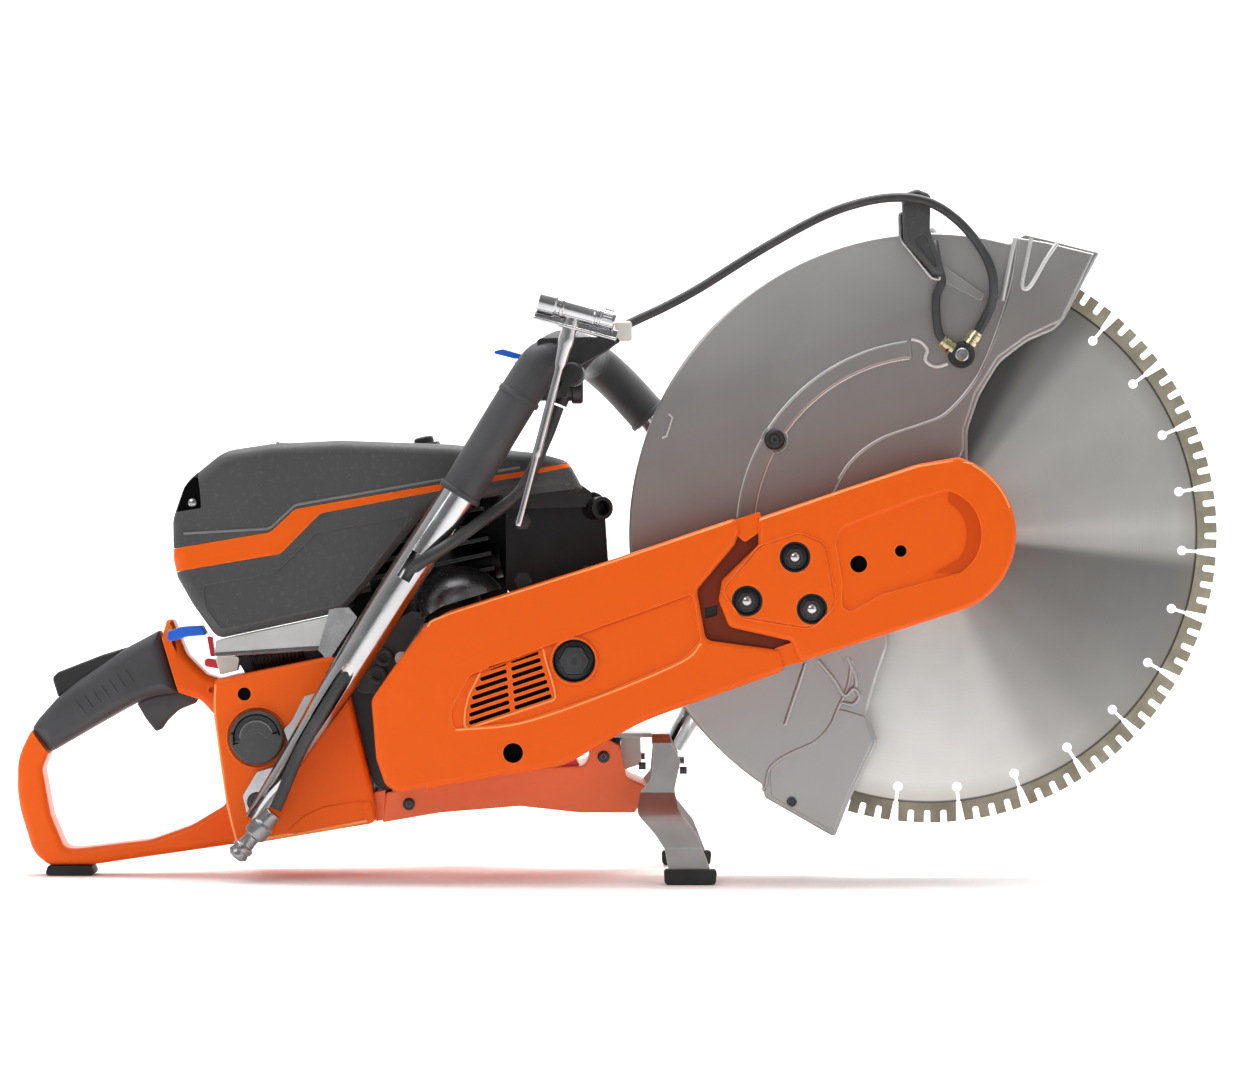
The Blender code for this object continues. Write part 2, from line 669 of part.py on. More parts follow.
STOP_PIVOT = (104, -38, 147)


def stop_switch():
    x, _, z = STOP_PIVOT
    outline = rounded([(x - 7, z - 1, 2), (x + 5, z - 3, 2), (x + 5, z + 3, 2), (x - 7, z + 5, 2)])
    return plate(outline, -44, -32)


# ---------------------------------------------------------------- starter

STARTER_PULL = Vector((-0.2, 0.3, 0.93)).normalized()
STARTER_HANDLE = Vector((292, 88, 187))


def starter_housing():
    shell = lathe(
        [(0, 108), (30, 108), (50, 104), (57, 96), (58, 60.5), (55, 60.5), (54.5, 94), (48.5, 101),
         (29, 104.8), (0, 104.8)],
        (CRANK_X, 0, CRANK_Z), steps=FINE,
    )
    slots = []
    for i in range(8):
        slots.append(box((30, 96, -2.2), (46, 112, 2.2), around_crank((i + 0.37) / 8)))
    post = lathe([(0, 106), (6, 106), (6, 92), (0, 92)], (CRANK_X, 0, CRANK_Z), steps=COARSE)
    rope_hole = rod(tuple(STARTER_HANDLE - STARTER_PULL * 26), tuple(STARTER_HANDLE - STARTER_PULL), 3, 12)
    return cut(joined(shell, post), *slots, rope_hole)


def starter_pulley():
    inner = 6 + GAP
    return lathe(
        [(24, 103), (24, 101), (19, 99), (19, 96), (24, 94), (24, 92), (inner, 92), (inner, 103), (24, 103)],
        (CRANK_X, 0, CRANK_Z), steps=COARSE,
    )


def starter_handle():
    base = STARTER_HANDLE + STARTER_PULL * 1.5
    across = STARTER_PULL.cross(Vector((0, 1, 0))).normalized()
    stem = rod(tuple(base), tuple(base + STARTER_PULL * 14), 6, 16, 8)
    middle = base + STARTER_PULL * 16
    bar = rod(tuple(middle - across * 26), tuple(middle + across * 26), 7.5, 16)
    return joined(bar, stem)


# ---------------------------------------------------------------- clutch and belt drive


def clutch_hub():
    hub = ring(CRANK_X, CRANK_Z, 30.2, SHAFT_R + GAP, -60.5, -49.5)
    cuts = []
    for i in range(3):
        cuts.append(box((13, -62, -1), (33, -48, 1), around_crank(i / 3)))
    return cut(hub, *cuts)


def clutch_drum():
    """Drum and belt pulley in one, running free on the crankshaft's nose."""
    bore = SHAFT_R + 0.5
    return lathe(
        [(DRIVE_PULLEY_R, -82), (bore, -82), (bore, -61.5), (31.2, -61.5), (31.2, -47.5), (34, -47.5),
         (34, -65), (DRIVE_PULLEY_R, -65), (DRIVE_PULLEY_R, -82)],
        (CRANK_X, 0, CRANK_Z),
    )


def belt_loop(extra):
    """The line that wraps both pulleys at their radius plus extra."""
    span = math.hypot(SPINDLE_X - CRANK_X, SPINDLE_Z - CRANK_Z)
    slope = math.degrees(math.atan2(SPINDLE_Z - CRANK_Z, SPINDLE_X - CRANK_X))
    lean = math.degrees(math.acos((DRIVE_PULLEY_R - DRIVEN_PULLEY_R) / span))
    front = arc(SPINDLE_X, SPINDLE_Z, DRIVEN_PULLEY_R + extra, slope - lean, slope + lean, 20)
    rear = arc(CRANK_X, CRANK_Z, DRIVE_PULLEY_R + extra, slope + lean, slope + 360 - lean, 14)
    return front + rear


def drive_belt():
    return plate(belt_loop(0.4 + BELT_T), BELT_LOW_Y, BELT_HIGH_Y, [belt_loop(0.5)])


def driven_pulley():
    hub = SPINDLE_R + GAP
    return lathe(
        [(DRIVEN_PULLEY_R, -82), (34.5, -82), (34, -76), (17, -76), (17, -84), (hub, -84), (hub, -64),
         (17, -64), (17, -71), (34, -71), (34.5, -65), (DRIVEN_PULLEY_R, -65), (DRIVEN_PULLEY_R, -82)],
        (SPINDLE_X, 0, SPINDLE_Z),
    )


def spindle_shaft():
    return lathe(
        [(0, -86), (SPINDLE_R, -86), (SPINDLE_R, -9), (5, -9), (5, -32), (0, -32)],
        (SPINDLE_X, 0, SPINDLE_Z),
    )


def spindle_bearing():
    return ring(SPINDLE_X, SPINDLE_Z, BEARING_R, SPINDLE_R + 0.3, -61, -38)


def inner_flange():
    blade_side, spigot_r = BLADE_Y - BLADE_T / 2 - GAP, BLADE_BORE_R - 0.4
    return lathe(
        [(FLANGE_R, blade_side), (FLANGE_R, blade_side - 4), (20, -30.5), (SPINDLE_R + 0.3, -30.5),
         (SPINDLE_R + 0.3, BLADE_Y + 1), (spigot_r, BLADE_Y + 1), (spigot_r, blade_side - 2),
         (42, blade_side - 2), (42, blade_side), (FLANGE_R, blade_side)],
        (SPINDLE_X, 0, SPINDLE_Z),
    )


def outer_flange():
    blade_side = BLADE_Y + BLADE_T / 2 + GAP
    return lathe(
        [(FLANGE_R, blade_side), (42, blade_side), (42, blade_side + 2), (SPINDLE_R + 0.3, blade_side + 2),
         (SPINDLE_R + 0.3, -8.4), (20, -8.4), (FLANGE_R, blade_side + 4), (FLANGE_R, blade_side)],
        (SPINDLE_X, 0, SPINDLE_Z),
    )


def blade_bolt():
    bolt = lathe(
        [(0, -5.4), (16, -5.4), (16, -8), (4.6, -8), (4.6, -28), (0, -28)],
        (SPINDLE_X, 0, SPINDLE_Z), steps=24,
    )
    head = lathe([(0, 2.5), (10.9, 2.5), (10.9, -6), (0, -6)], (SPINDLE_X, 0, SPINDLE_Z), steps=6)
    return joined(bolt, head)


def blade_outline():
    """The rim of the blade: segments of four teeth each, with a keyhole slot between neighbours."""
    pitch = math.tau / SEGMENTS
    points = []

    def at(radius, angle):
        points.append((SPINDLE_X + radius * math.cos(angle), SPINDLE_Z + radius * math.sin(angle)))

    slot_half, ring_half, rim_half, hole_r, notch_half = 1.0, 1.4, 3.1, 3.2, 2.3
    for i in range(SEGMENTS):
        centre = SLOT_START + i * pitch
        at(BLADE_R, centre - rim_half / BLADE_R)
        at(SEGMENT_ROOT_R, centre - ring_half / SEGMENT_ROOT_R)
        opening = math.asin(slot_half / hole_r)
        for step in range(5):
            angle = opening + (math.tau - 2 * opening) * step / 4
            # the keyhole is walked from the slot's clockwise side round its inner end
            across = -hole_r * math.sin(angle)
            along = SLOT_END_R + hole_r * math.cos(angle)
            points.append((
                SPINDLE_X + along * math.cos(centre) - across * math.sin(centre),
                SPINDLE_Z + along * math.sin(centre) + across * math.cos(centre),
            ))
        at(SEGMENT_ROOT_R, centre + ring_half / SEGMENT_ROOT_R)
        at(BLADE_R, centre + rim_half / BLADE_R)
        for notch in range(1, 4):
            middle = centre + pitch * notch / 4
            at(BLADE_R, middle - notch_half / BLADE_R)
            at(TOOTH_ROOT_R, middle - notch_half * 0.8 / TOOTH_ROOT_R)
            at(TOOTH_ROOT_R, middle + notch_half * 0.8 / TOOTH_ROOT_R)
            at(BLADE_R, middle + notch_half / BLADE_R)
    return points


def diamond_blade():
    bore = arc(SPINDLE_X, SPINDLE_Z, BLADE_BORE_R, 0, 360 - 360 / MEDIUM, MEDIUM - 1)
    return plate(blade_outline(), BLADE_Y - BLADE_T / 2, BLADE_Y + BLADE_T / 2, [bore])


# ---------------------------------------------------------------- cutting arm and belt covers

REAR_COVER = [
    (214.6, 124.8, 6), (227.5, 143.7), (251.2, 175.6, 6), (266, 184.4, 8), (369.8, 217.2), (461.2, 248.1, 3),
    (464.6, 239.9), (461.2, 229.8), (435.5, 199.3, 4), (441.6, 165.4, 4), (491.7, 158.6, 2),
    (495.1, 145.1, 2), (437.5, 124.8), (396.9, 109.8, 20), (363, 90.9, 10), (342.7, 80.7, 10),
    (302, 73.9), (232, 61.7, 6),
    (224.1, 67.2), (218, 84.1, 10),
]
REAR_COVER_INSIDE = [
    (214.6, 124.8, 6), (227.5, 143.7), (251.2, 175.6, 6), (266, 184.4, 8), (369.8, 217.2), (461.2, 248.1),
    (600, 295), (600, 182), (495.1, 145.1), (437.5, 124.8), (396.9, 109.8, 20), (363, 90.9, 10),
    (342.7, 80.7, 10), (302, 73.9), (232, 61.7, 6), (224.1, 67.2), (218, 84.1, 10),
]
FRONT_COVER = [
    (477.0, 248.1, 2), (590, 285.4, 12), *arc(SPINDLE_X, SPINDLE_Z, 54.6, 70, -62, 14), (498.5, 151.9, 2),
    (493.1, 160.0, 3), (457.8, 168.8, 3), (449.7, 192.5, 4), (452.4, 206.1), (477.0, 229.8, 3),
]
FRONT_COVER_INSIDE = [
    (380, 216.1), (590, 285.4, 12), *arc(SPINDLE_X, SPINDLE_Z, 54.6, 70, -62, 14), (380, 112.9),
]
CLAMP_PAD = [
    (452.8, 199.3, 3), (478.2, 229.3, 4), (505.3, 238.6, 6), (524, 230.4, 4), (529.5, 186, 6),
    (513, 169.5, 6), (464.6, 177.6, 4),
]
ARM = [
    (219.5, 122), (231.5, 141), (254.5, 170), (267, 179.6), (370, 211.5), (440, 235), (476, 243), (520, 257),
    (524, 250), (524, 174), (518, 166), (495, 157.5), (436, 130.5), (396, 115.8), (362, 96.8), (341, 86.5),
    (301, 79.5), (236, 68), (227.5, 74), (223, 87),
]


def cutting_arm():
    arm = plate(ARM, ARM_LOW_Y, ARM_HIGH_Y)
    bosses = [ring(x, z, 9.4, 0, -88, ARM_LOW_Y + 2, COARSE) for x, z in CLAMP_BOLTS]
    bosses.append(ring(*TENSIONER, 13, 0, -86, ARM_LOW_Y + 2, COARSE))
    holes = [ring(x, z, 4.8, 0, -100, -40, 10) for x, z in (*CLAMP_BOLTS, TENSIONER)]
    holes.append(ring(CRANK_X, CRANK_Z, 37, 0, -70, -40))
    return cut(joined(arm, *bosses), *holes)


def bearing_head():
    """Front half of the arm: clamped behind the rear half, it carries the spindle's bearing housing."""
    outline = rounded([
        (448, 232, 10), (560, 268, 20), *arc(SPINDLE_X, SPINDLE_Z, 44, 80, -80, 12), (565, 182, 20),
        (470, 160, 10), (448, 176, 8),
    ])
    head = plate(outline, HEAD_LOW_Y, HEAD_HIGH_Y)
    housing = lathe(
        [(0, -62), (HOUSING_R, -62), (HOUSING_R, -40.6), (38, -40.6), (38, -36), (0, -36)],
        (SPINDLE_X, 0, SPINDLE_Z), steps=FINE,
    )
    bore = ring(SPINDLE_X, SPINDLE_Z, BEARING_R + GAP, 0, -70, -30)
    return cut(joined(head, housing), bore, *[ring(x, z, 4.8, 0, -60, -40, 10) for x, z in CLAMP_BOLTS])


def vent_slots():
    """Two columns of cooling slots that follow the arm's slope, shorter towards the rear's round end."""
    frame = Matrix.Translation(Vector((303, 0, 136)) * MM) @ Matrix.Rotation(-ARM_SLOPE, 4, "Y")
    slots = []
    for row in range(7):
        height = 21.6 - 7.2 * row
        reach = 28 * math.sqrt(max(0.12, 1 - (height / 27) ** 2))
        slots.append(box((-reach, -102, height - 1.9), (-2.5, -90, height + 1.9), frame))
        slots.append(box((2.5, -102, height - 1.9), (30, -90, height + 1.9), frame))
    return slots


def belt_cover(outline, inside):
    shell = plate(rounded(outline), COVER_FACE_Y, COVER_BACK_Y)
    return cut(shell, plate(rounded(inset(inside, COVER_WALL)), COVER_FACE_Y + COVER_WALL, 0))


def rear_belt_cover():
    holes = [ring(*TENSIONER, 15, 0, -110, -90, 28), ring(310.8, 88.8, 6.8, 0, -110, -90, 20)]
    return cut(belt_cover(REAR_COVER, REAR_COVER_INSIDE), *holes, *vent_slots())


def front_belt_cover():
    cover = belt_cover(FRONT_COVER, FRONT_COVER_INSIDE)
    cover = joined(cover, plate(rounded(CLAMP_PAD, steps=2), COVER_FACE_Y - 1.2, COVER_FACE_Y + 1.1))
    holes = [ring(x, z, 10.6, 0, -110, -90, 24) for x, z in CLAMP_BOLTS]
    holes += [ring(545.2, 216.9, 5.8, 0, -110, -90, 20), ring(573.7, 225.7, 4, 0, -110, -90, 16)]
    return cut(cover, *holes)


def clamp_nuts():
    """The three nuts and studs that clamp the arm's halves, tied by the plate that seats them."""
    first, second, third = (Vector(place) for place in CLAMP_BOLTS)
    plates = plate(rounded(inset([tuple(first), tuple(second), tuple(third)], -9), 8), -90, -88.4)
    for x, z in CLAMP_BOLTS:
        stud = lathe([(0, -95.5), (4.2, -95.5), (4.2, HEAD_HIGH_Y), (0, HEAD_HIGH_Y)], (x, 0, z), steps=12)
        nut = lathe([(0, -94.5), (7.4, -94.5), (7.4, -89), (0, -89)], (x, 0, z), steps=6)
        plates = joined(plates, stud, nut)
    return plates


def belt_tensioner():
    x, z = TENSIONER
    shank = lathe([(0, -88), (4.2, -88), (4.2, -52), (0, -52)], (x, 0, z), steps=12)
    washer = lathe([(0, -89.5), (13.5, -89.5), (13.5, -86.4), (0, -86.4)], (x, 0, z), steps=24)
    head = lathe([(0, -94), (10.9, -94), (10.9, -89), (0, -89)], (x, 0, z), steps=6)
    return joined(washer, shank, head)


# ---------------------------------------------------------------- blade guard

GUARD_ARC_START, GUARD_ARC_END = 75, 236
GUARD_TAIL = [(483.2, 55.4), (531.4, 27.9)]
GUARD_NOSE = [(714, 431.6), (676.1, 441.2), (662.3, 444.4)]
SPRAY_POINT = (618.2, 360.5)


def guard_form():
    rim = arc(SPINDLE_X, SPINDLE_Z, GUARD_R, GUARD_ARC_START, GUARD_ARC_END, 40)
    front_edge = [
        (541.7, 54, 4), (561, 94, 6), (553.4, 114.7, 8), (562.4, 145), (569.3, 164.3), (560, 186),
        *arc(SPINDLE_X, SPINDLE_Z, 52, 260, 420, 14), (623, 295.2, 6), (623, 308.9, 20),
        (631.3, 333.1, 30), (645.1, 355.8, 20), (664, 370, 20), (683, 378, 8), (690, 386, 8),
    ]
    return rounded([*GUARD_NOSE, *rim, *GUARD_TAIL, *front_edge])


def guard_hollow():
    """The room for the blade: inside the rim, and open all along the front edge."""
    rim = arc(SPINDLE_X, SPINDLE_Z, GUARD_R - GUARD_WALL, GUARD_ARC_START, GUARD_ARC_END, 40)
    return [
        (716, 428.6), (676, 438.5), (662.4, 441.6), *rim, (485.4, 57.4), (533, 30.4), (580, 0),
        (800, 0), (800, 420),
    ]


def blade_guard():
    guard = plate(guard_form(), GUARD_LOW_Y, GUARD_HIGH_Y)
    room = plate(guard_hollow(), GUARD_LOW_Y + GUARD_WALL, GUARD_HIGH_Y - GUARD_WALL)
    far_opening = ring(SPINDLE_X, SPINDLE_Z, 150, 0, 0, 10, 48)
    pivot = ring(SPINDLE_X, SPINDLE_Z, HOUSING_R + 0.5, 0, -50, -38, FINE)
    return cut(guard, room, far_opening, pivot)


def guard_handle():
    """Lever at the top of the guard's right face, by which the guard is turned."""
    outline = rounded([
        (576.5, 470.5, 3), (587, 474.5, 4), (597, 470.5, 3), (596.5, 446, 6), (605, 423, 3), (606.5, 414, 2),
        (599, 414.5, 2), (577.5, 438.5, 6),
    ])
    return bevelled(plate(outline, -60, GUARD_LOW_Y - GAP), 2.5)


def spray_fitting():
    """Brass tee on the guard that splits the water to both sides of the blade."""
    x, z = SPRAY_POINT
    y = GUARD_LOW_Y - GAP
    base = ring(x, z, 9, 0, y - 9, y, 20)
    left = rod((x - 2, y - 5, z), (x - 13.5, y - 5, z + 9.8), 4.6, 12)
    right = rod((x + 1, y - 5, z), (x + 10.8, y - 5, z + 14.8), 4.6, 12)
    screw = ring(x, z, 4, 0, y - 11.5, y - 8, 6)
    return joined(base, left, right, screw)


# ---------------------------------------------------------------- water supply and front handle

HANDLE_PATH = [
    (132, -66.5, 42.3), (165.6, -73, 93.7), (191.5, -80.5, 134.5), (233.6, -85, 202.5), (272.4, -85, 261.7),
    (322, -85, 343), (334, -83, 356), (341.5, -75, 361.5), (345, -60, 363), (351, 0, 364.5), (357, 60, 365),
    (360, 84, 364), (366, 98, 360), (383, 105, 345), (406, 106, 320), (432, 106, 280), (444, 106, 220),
    (445, 105, 160), (438.6, 98, 115), (429, 90, 96), (421, 84, 82),
]
HANDLE_TAPER = [0.42, 0.68, 0.9, 1, 1, 1, 1, 1, 1, 1, 1, 1, 1, 1, 1, 1, 1, 1, 0.9, 0.8, 0.7]
GRIP_FROM, GRIP_TO = 4, 14


def front_handle():
    core = HANDLE_CORE_R / HANDLE_TUBE_R
    path, widths = [], []
    for i, (point, width) in enumerate(zip(HANDLE_PATH, HANDLE_TAPER)):
        inside = GRIP_FROM <= i <= GRIP_TO
        step = i in (GRIP_FROM, GRIP_TO)
        if step:
            before, after = Vector(HANDLE_PATH[i - 1]), Vector(HANDLE_PATH[i + 1])
            along = (after - before).normalized()
            first, second = Vector(point) - along * 1.2, Vector(point) + along * 1.2
            path += [tuple(first), tuple(second)]
            widths += [width, core] if i == GRIP_FROM else [core, width]
        else:
            path.append(point)
            widths.append(core if inside else width)
    return tube(path, HANDLE_TUBE_R, 12, widths)


def front_handle_grip():
    along = HANDLE_PATH[GRIP_FROM:GRIP_TO + 1]
    start, end = Vector(along[0]), Vector(along[-1])
    start += (Vector(along[1]) - start).normalized() * 2.2
    end += (Vector(along[-2]) - end).normalized() * 2.2
    path = [tuple(start), *along[1:-1], tuple(end)]
    longer = [
        tuple(start - (Vector(along[1]) - start).normalized() * 6), *along[1:-1],
        tuple(end - (Vector(along[-2]) - end).normalized() * 6),
    ]
    return cut(tube(path, HANDLE_GRIP_R, 12), tube(longer, HANDLE_CORE_R + 0.6, 12))


WRENCH_Y = -105.5


def combination_wrench():
    """Two-ended socket bar with a long driver shaft, stowed on the front handle."""
    y = WRENCH_Y
    bar = joined(
        rod((328.4, y, 394.4), (341, y, 391.1), 8.5, 18),
        rod((340, y, 391.4), (380, y, 380.7), 7, 18),
    )
    shaft = joined(
        rod((351.5, y, 385), (342.1, y, 349), 4.8, 12),
        rod((342.4, y, 350), (327, y, 289), 2.9, 10),
        rod((327.4, y, 290), (314.7, y, 242.1), 2.3, 10),
    )
    sockets = [
        rod((324, y, 395.6), (335, y, 392.7), 6, 6),
        rod((374, y, 382.3), (386, y, 379.1), 4.6, 6),
    ]
    return cut(joined(bar, shaft), *sockets)


TAP_PIVOT = (314.8, -60, 356.6)


def water_tap():
    """Tap on the handle, with the outlet pipe that feeds the guard's hose."""
    y, z = TAP_PIVOT[1], 336
    barrel = rod((313, y, z), (352, y, z), 7.5)
    knob = rod((350, y, z), (358, y, z), 9.5)
    pipe = tube([(354, y, z), (366, y, 342), (379, y, 356), (384, y, 367), (385, y, 378)], 4, 8)
    stem = rod((319, y, z), (315, y, 356), 4, 10)
    drain = rod((346, y, z), (342, y, 326), 5, 10)
    return joined(barrel, knob, pipe, stem, drain)


def tap_lever():
    outline = rounded([(293.8, 361.8, 1), (303, 363.4, 2), (318.5, 359.5, 2), (316, 357.4), (311, 357.4, 2)])
    return plate(outline, -63, -57)


def water_hose_lower():
    points = smooth_path([
        (340, -62, 323.5), (332, -64, 301), (315, -72, 267), (285, -86, 243), (262, -100, 226),
        (240, -103.5, 209), (214, -101, 171), (191, -98.5, 134.3), (165, -90, 86), (148.6, -82, 49.9),
    ], 2)
    return tube(points, 4.2, 8)


def hose_nipple():
    """Quick coupling at the lower end of the supply hose."""
    along = Vector((-26.6, 2, -30.7)).normalized()
    return lathe(
        [(0, 0), (6, 0), (6.5, 3), (6.5, 10), (8, 11), (8, 20), (6, 21), (6, 29), (7.4, 30), (7.4, 38),
         (5, 40), (3, 40), (3, 30), (0, 30)],
        (147.1, -80.5, 47.2), tuple(along), 12,
    )


def water_hose_upper():
    """Hose from the tap's outlet over to the fitting on the guard."""
    points = smooth_path([
        (387, -60, 381.5), (438.3, -60, 405.2), (479.6, -60, 432.7), (520.9, -61, 455.4), (555.3, -65, 465.7),
        (580, -66, 467.3), (600, -66, 462), (619, -62, 447.8), (635, -58, 424), (639.6, -54, 406),
        (637, -50.5, 392), (630.7, -50, 377.9),
    ], 2)
    return tube(points, 3.2, 8)


# ---------------------------------------------------------------- front stand

STAND_SIDE = [
    (374, 97.2), (374, 100.2), (407, 100.2), (408.4, 110.5, 1), (415.4, 110.5, 1), (418.5, 94.3, 6),
    (424.8, 82, 4), (420.6, 62.4, 10), (423.2, 48.9, 6), (435.5, 33.3, 10), (440.9, 19.7, 10),
    (445.6, 7), (416.5, 7),
    (413.8, 23.1, 8), (407, 33.3, 8), (394.5, 47, 8), (396.9, 60.4, 8), (404.8, 70, 4), (406.5, 90, 4),
    (404, 97.2),
]
STAND_FRONT = [(-98, 7), (-98, 24), (-84, 44), (-66, 60), (-66, 94), (-60, 98.7)]
STAND_T = 3.0


def front_stand():
    """Pressed-steel stand: a crossplate with two legs that splay outwards."""
    left = [(-y, z) for y, z in reversed(STAND_FRONT)]
    line = [*STAND_FRONT, *left]
    edge = []
    for side in (1, -1):
        moved = []
        for i, (y, z) in enumerate(line):
            before = Vector(line[max(i - 1, 0)])
            after = Vector(line[min(i + 1, len(line) - 1)])
            along = (after - before).normalized()
            normal = Vector((-along.y, along.x)) * side * STAND_T / 2
            moved.append((y + normal.x, z + normal.y))
        edge += moved if side == 1 else list(reversed(moved))
    curve = plate(edge, -60, 60)
    # the bent strip is drawn in XZ like every plate, then turned to face along X
    curve.data.transform(Matrix.Rotation(math.pi / 2, 4, "Z"))
    curve.data.transform(Matrix.Translation(Vector((400, 0, 0)) * MM))
    stand = common(curve, plate(rounded(STAND_SIDE), -120, 120))
    return cut(stand, box((360, -120, 90), (405, -46, 120)), box((360, 46, 90), (405, 120, 120)))


def stand_foot(side):
    low, high = sorted((side * (STAND_LEG_Y - 7), side * (STAND_LEG_Y + 7)))
    outline = rounded([(413.5, 0, 2.5), (448, 0, 2.5), (449, 10, 2), (413, 10, 2)])
    foot = bevelled(plate(outline, low, high), 0.8)
    low, high = sorted((side * (STAND_LEG_Y - 2), side * (STAND_LEG_Y + 2)))
    slot = box((400, low, 6.4), (460, high, 14))
    return cut(foot, slot)


# ---------------------------------------------------------------- the saw


def build_saw():
    spindle, crank = (SPINDLE_X, 0, SPINDLE_Z), (CRANK_X, 0, CRANK_Z)
    barrel_foot = in_engine(0, ENGINE_Y, 0)
    pieces = [
        ("rear_handle_tank", rear_handle_tank, "orange_plastic", None),
        ("rear_grip", rear_grip, "grip_rubber", None),
        ("rear_foot", rear_foot, "foot_rubber", None),
        ("throttle_trigger", throttle_trigger, "black_plastic", TRIGGER_PIVOT),
        ("throttle_lockout", throttle_lockout, "black_plastic", LOCKOUT_PIVOT),
        ("fuel_cap", fuel_cap, "charcoal_plastic", (CAP_CENTRE[0], TANK_RIGHT_Y, CAP_CENTRE[1])),
        ("crankcase_guard", crankcase_guard, "dark_orange_plastic", None),
        ("crankcase", crankcase, "cast_aluminium", None),
        ("cylinder", cylinder, "cast_aluminium", None),
        ("piston", piston, "cast_aluminium", barrel_foot),
        ("connecting_rod", connecting_rod, "bright_steel", barrel_foot),
        ("crankshaft_right", crankshaft_right, "bright_steel", crank),
        ("crankshaft_left", crankshaft_left, "bright_steel", crank),
        ("main_bearing_right", lambda: ring(*crank[::2], BEARING_R, 10.35, -33, -20), "bright_steel", None),
        ("main_bearing_left", lambda: ring(*crank[::2], BEARING_R, 10.35, 33.5, 46), "bright_steel", None),
        ("flywheel", flywheel, "cast_aluminium", crank),
        ("muffler", muffler, "black_steel", None),
        ("carburetor", carburetor, "cast_aluminium", None),
        ("spark_plug", spark_plug, "bright_steel", None),
        ("decompression_valve", decompression_valve, "black_plastic", in_engine(17, ENGINE_Y + 6, 170)),
        ("top_cover", top_cover, "charcoal_plastic", None),
        ("cover_stripe", cover_stripe, "orange_plastic", None),
        ("filter_housing", filter_housing, "charcoal_plastic", None),
        ("air_filter", air_filter, "filter_foam", None),
        ("carburetor_bracket", carburetor_bracket, "cast_aluminium", None),
        ("choke_lever", choke_lever, "blue_plastic", (80, -28, 170)),
        ("stop_switch", stop_switch, "red_plastic", STOP_PIVOT),
        ("starter_housing", starter_housing, "orange_plastic", None),
        ("starter_pulley", starter_pulley, "black_plastic", crank),
        ("starter_handle", starter_handle, "black_plastic", tuple(STARTER_HANDLE)),
        ("clutch_hub", clutch_hub, "dark_steel", crank),
        ("clutch_drum", clutch_drum, "dark_steel", crank),
        ("drive_belt", drive_belt, "foot_rubber", None),
        ("driven_pulley", driven_pulley, "dark_steel", spindle),
        ("spindle_shaft", spindle_shaft, "bright_steel", spindle),
        ("spindle_bearing", spindle_bearing, "bright_steel", None),
        ("inner_flange", inner_flange, "bright_steel", spindle),
        ("outer_flange", outer_flange, "bright_steel", spindle),
        ("blade_bolt", blade_bolt, "dark_steel", spindle),
        ("diamond_blade", diamond_blade, "brushed_steel", spindle),
        ("cutting_arm", cutting_arm, "cast_aluminium", None),
        ("bearing_head", bearing_head, "cast_aluminium", None),
        ("rear_belt_cover", rear_belt_cover, "orange_plastic", None),
        ("front_belt_cover", front_belt_cover, "orange_plastic", None),
        ("clamp_nuts", clamp_nuts, "dark_steel", None),
        ("belt_tensioner", belt_tensioner, "dark_steel", (TENSIONER[0], 0, TENSIONER[1])),
        ("blade_guard", blade_guard, "guard_paint", spindle),
        ("guard_handle", guard_handle, "charcoal_plastic", spindle),
        ("spray_fitting", spray_fitting, "brass", spindle),
        ("front_handle", front_handle, "bright_steel", None),
        ("front_handle_grip", front_handle_grip, "grip_rubber", None),
        ("combination_wrench", combination_wrench, "bright_steel", (351.5, WRENCH_Y, 385)),
        ("water_tap", water_tap, "black_plastic", None),
        ("tap_lever", tap_lever, "blue_plastic", TAP_PIVOT),
        ("water_hose_lower", water_hose_lower, "foot_rubber", None),
        ("water_hose_upper", water_hose_upper, "foot_rubber", None),
        ("hose_nipple", hose_nipple, "bright_steel", None),
        ("front_stand", front_stand, "dark_steel", None),
        ("stand_foot_right", lambda: stand_foot(-1), "foot_rubber", None),
        ("stand_foot_left", lambda: stand_foot(1), "foot_rubber", None),
    ]
    for name, make, slot, pivot in pieces:
        finish(make(), name, slot, pivot)


clear_scene()
SAW = saw_collection()
build_saw()
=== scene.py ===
"""Looks of the concrete cut-off saw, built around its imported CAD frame.

Frame: +X forwards towards the blade, +Y to the operator's left, +Z up, ground at Z = 0.
Sizes below are in millimetres; outlines are (x, z) or (x, z, corner radius) seen from the right-hand side.
"""

import json
import math

import bmesh
import bpy
from mathutils import Matrix, Vector


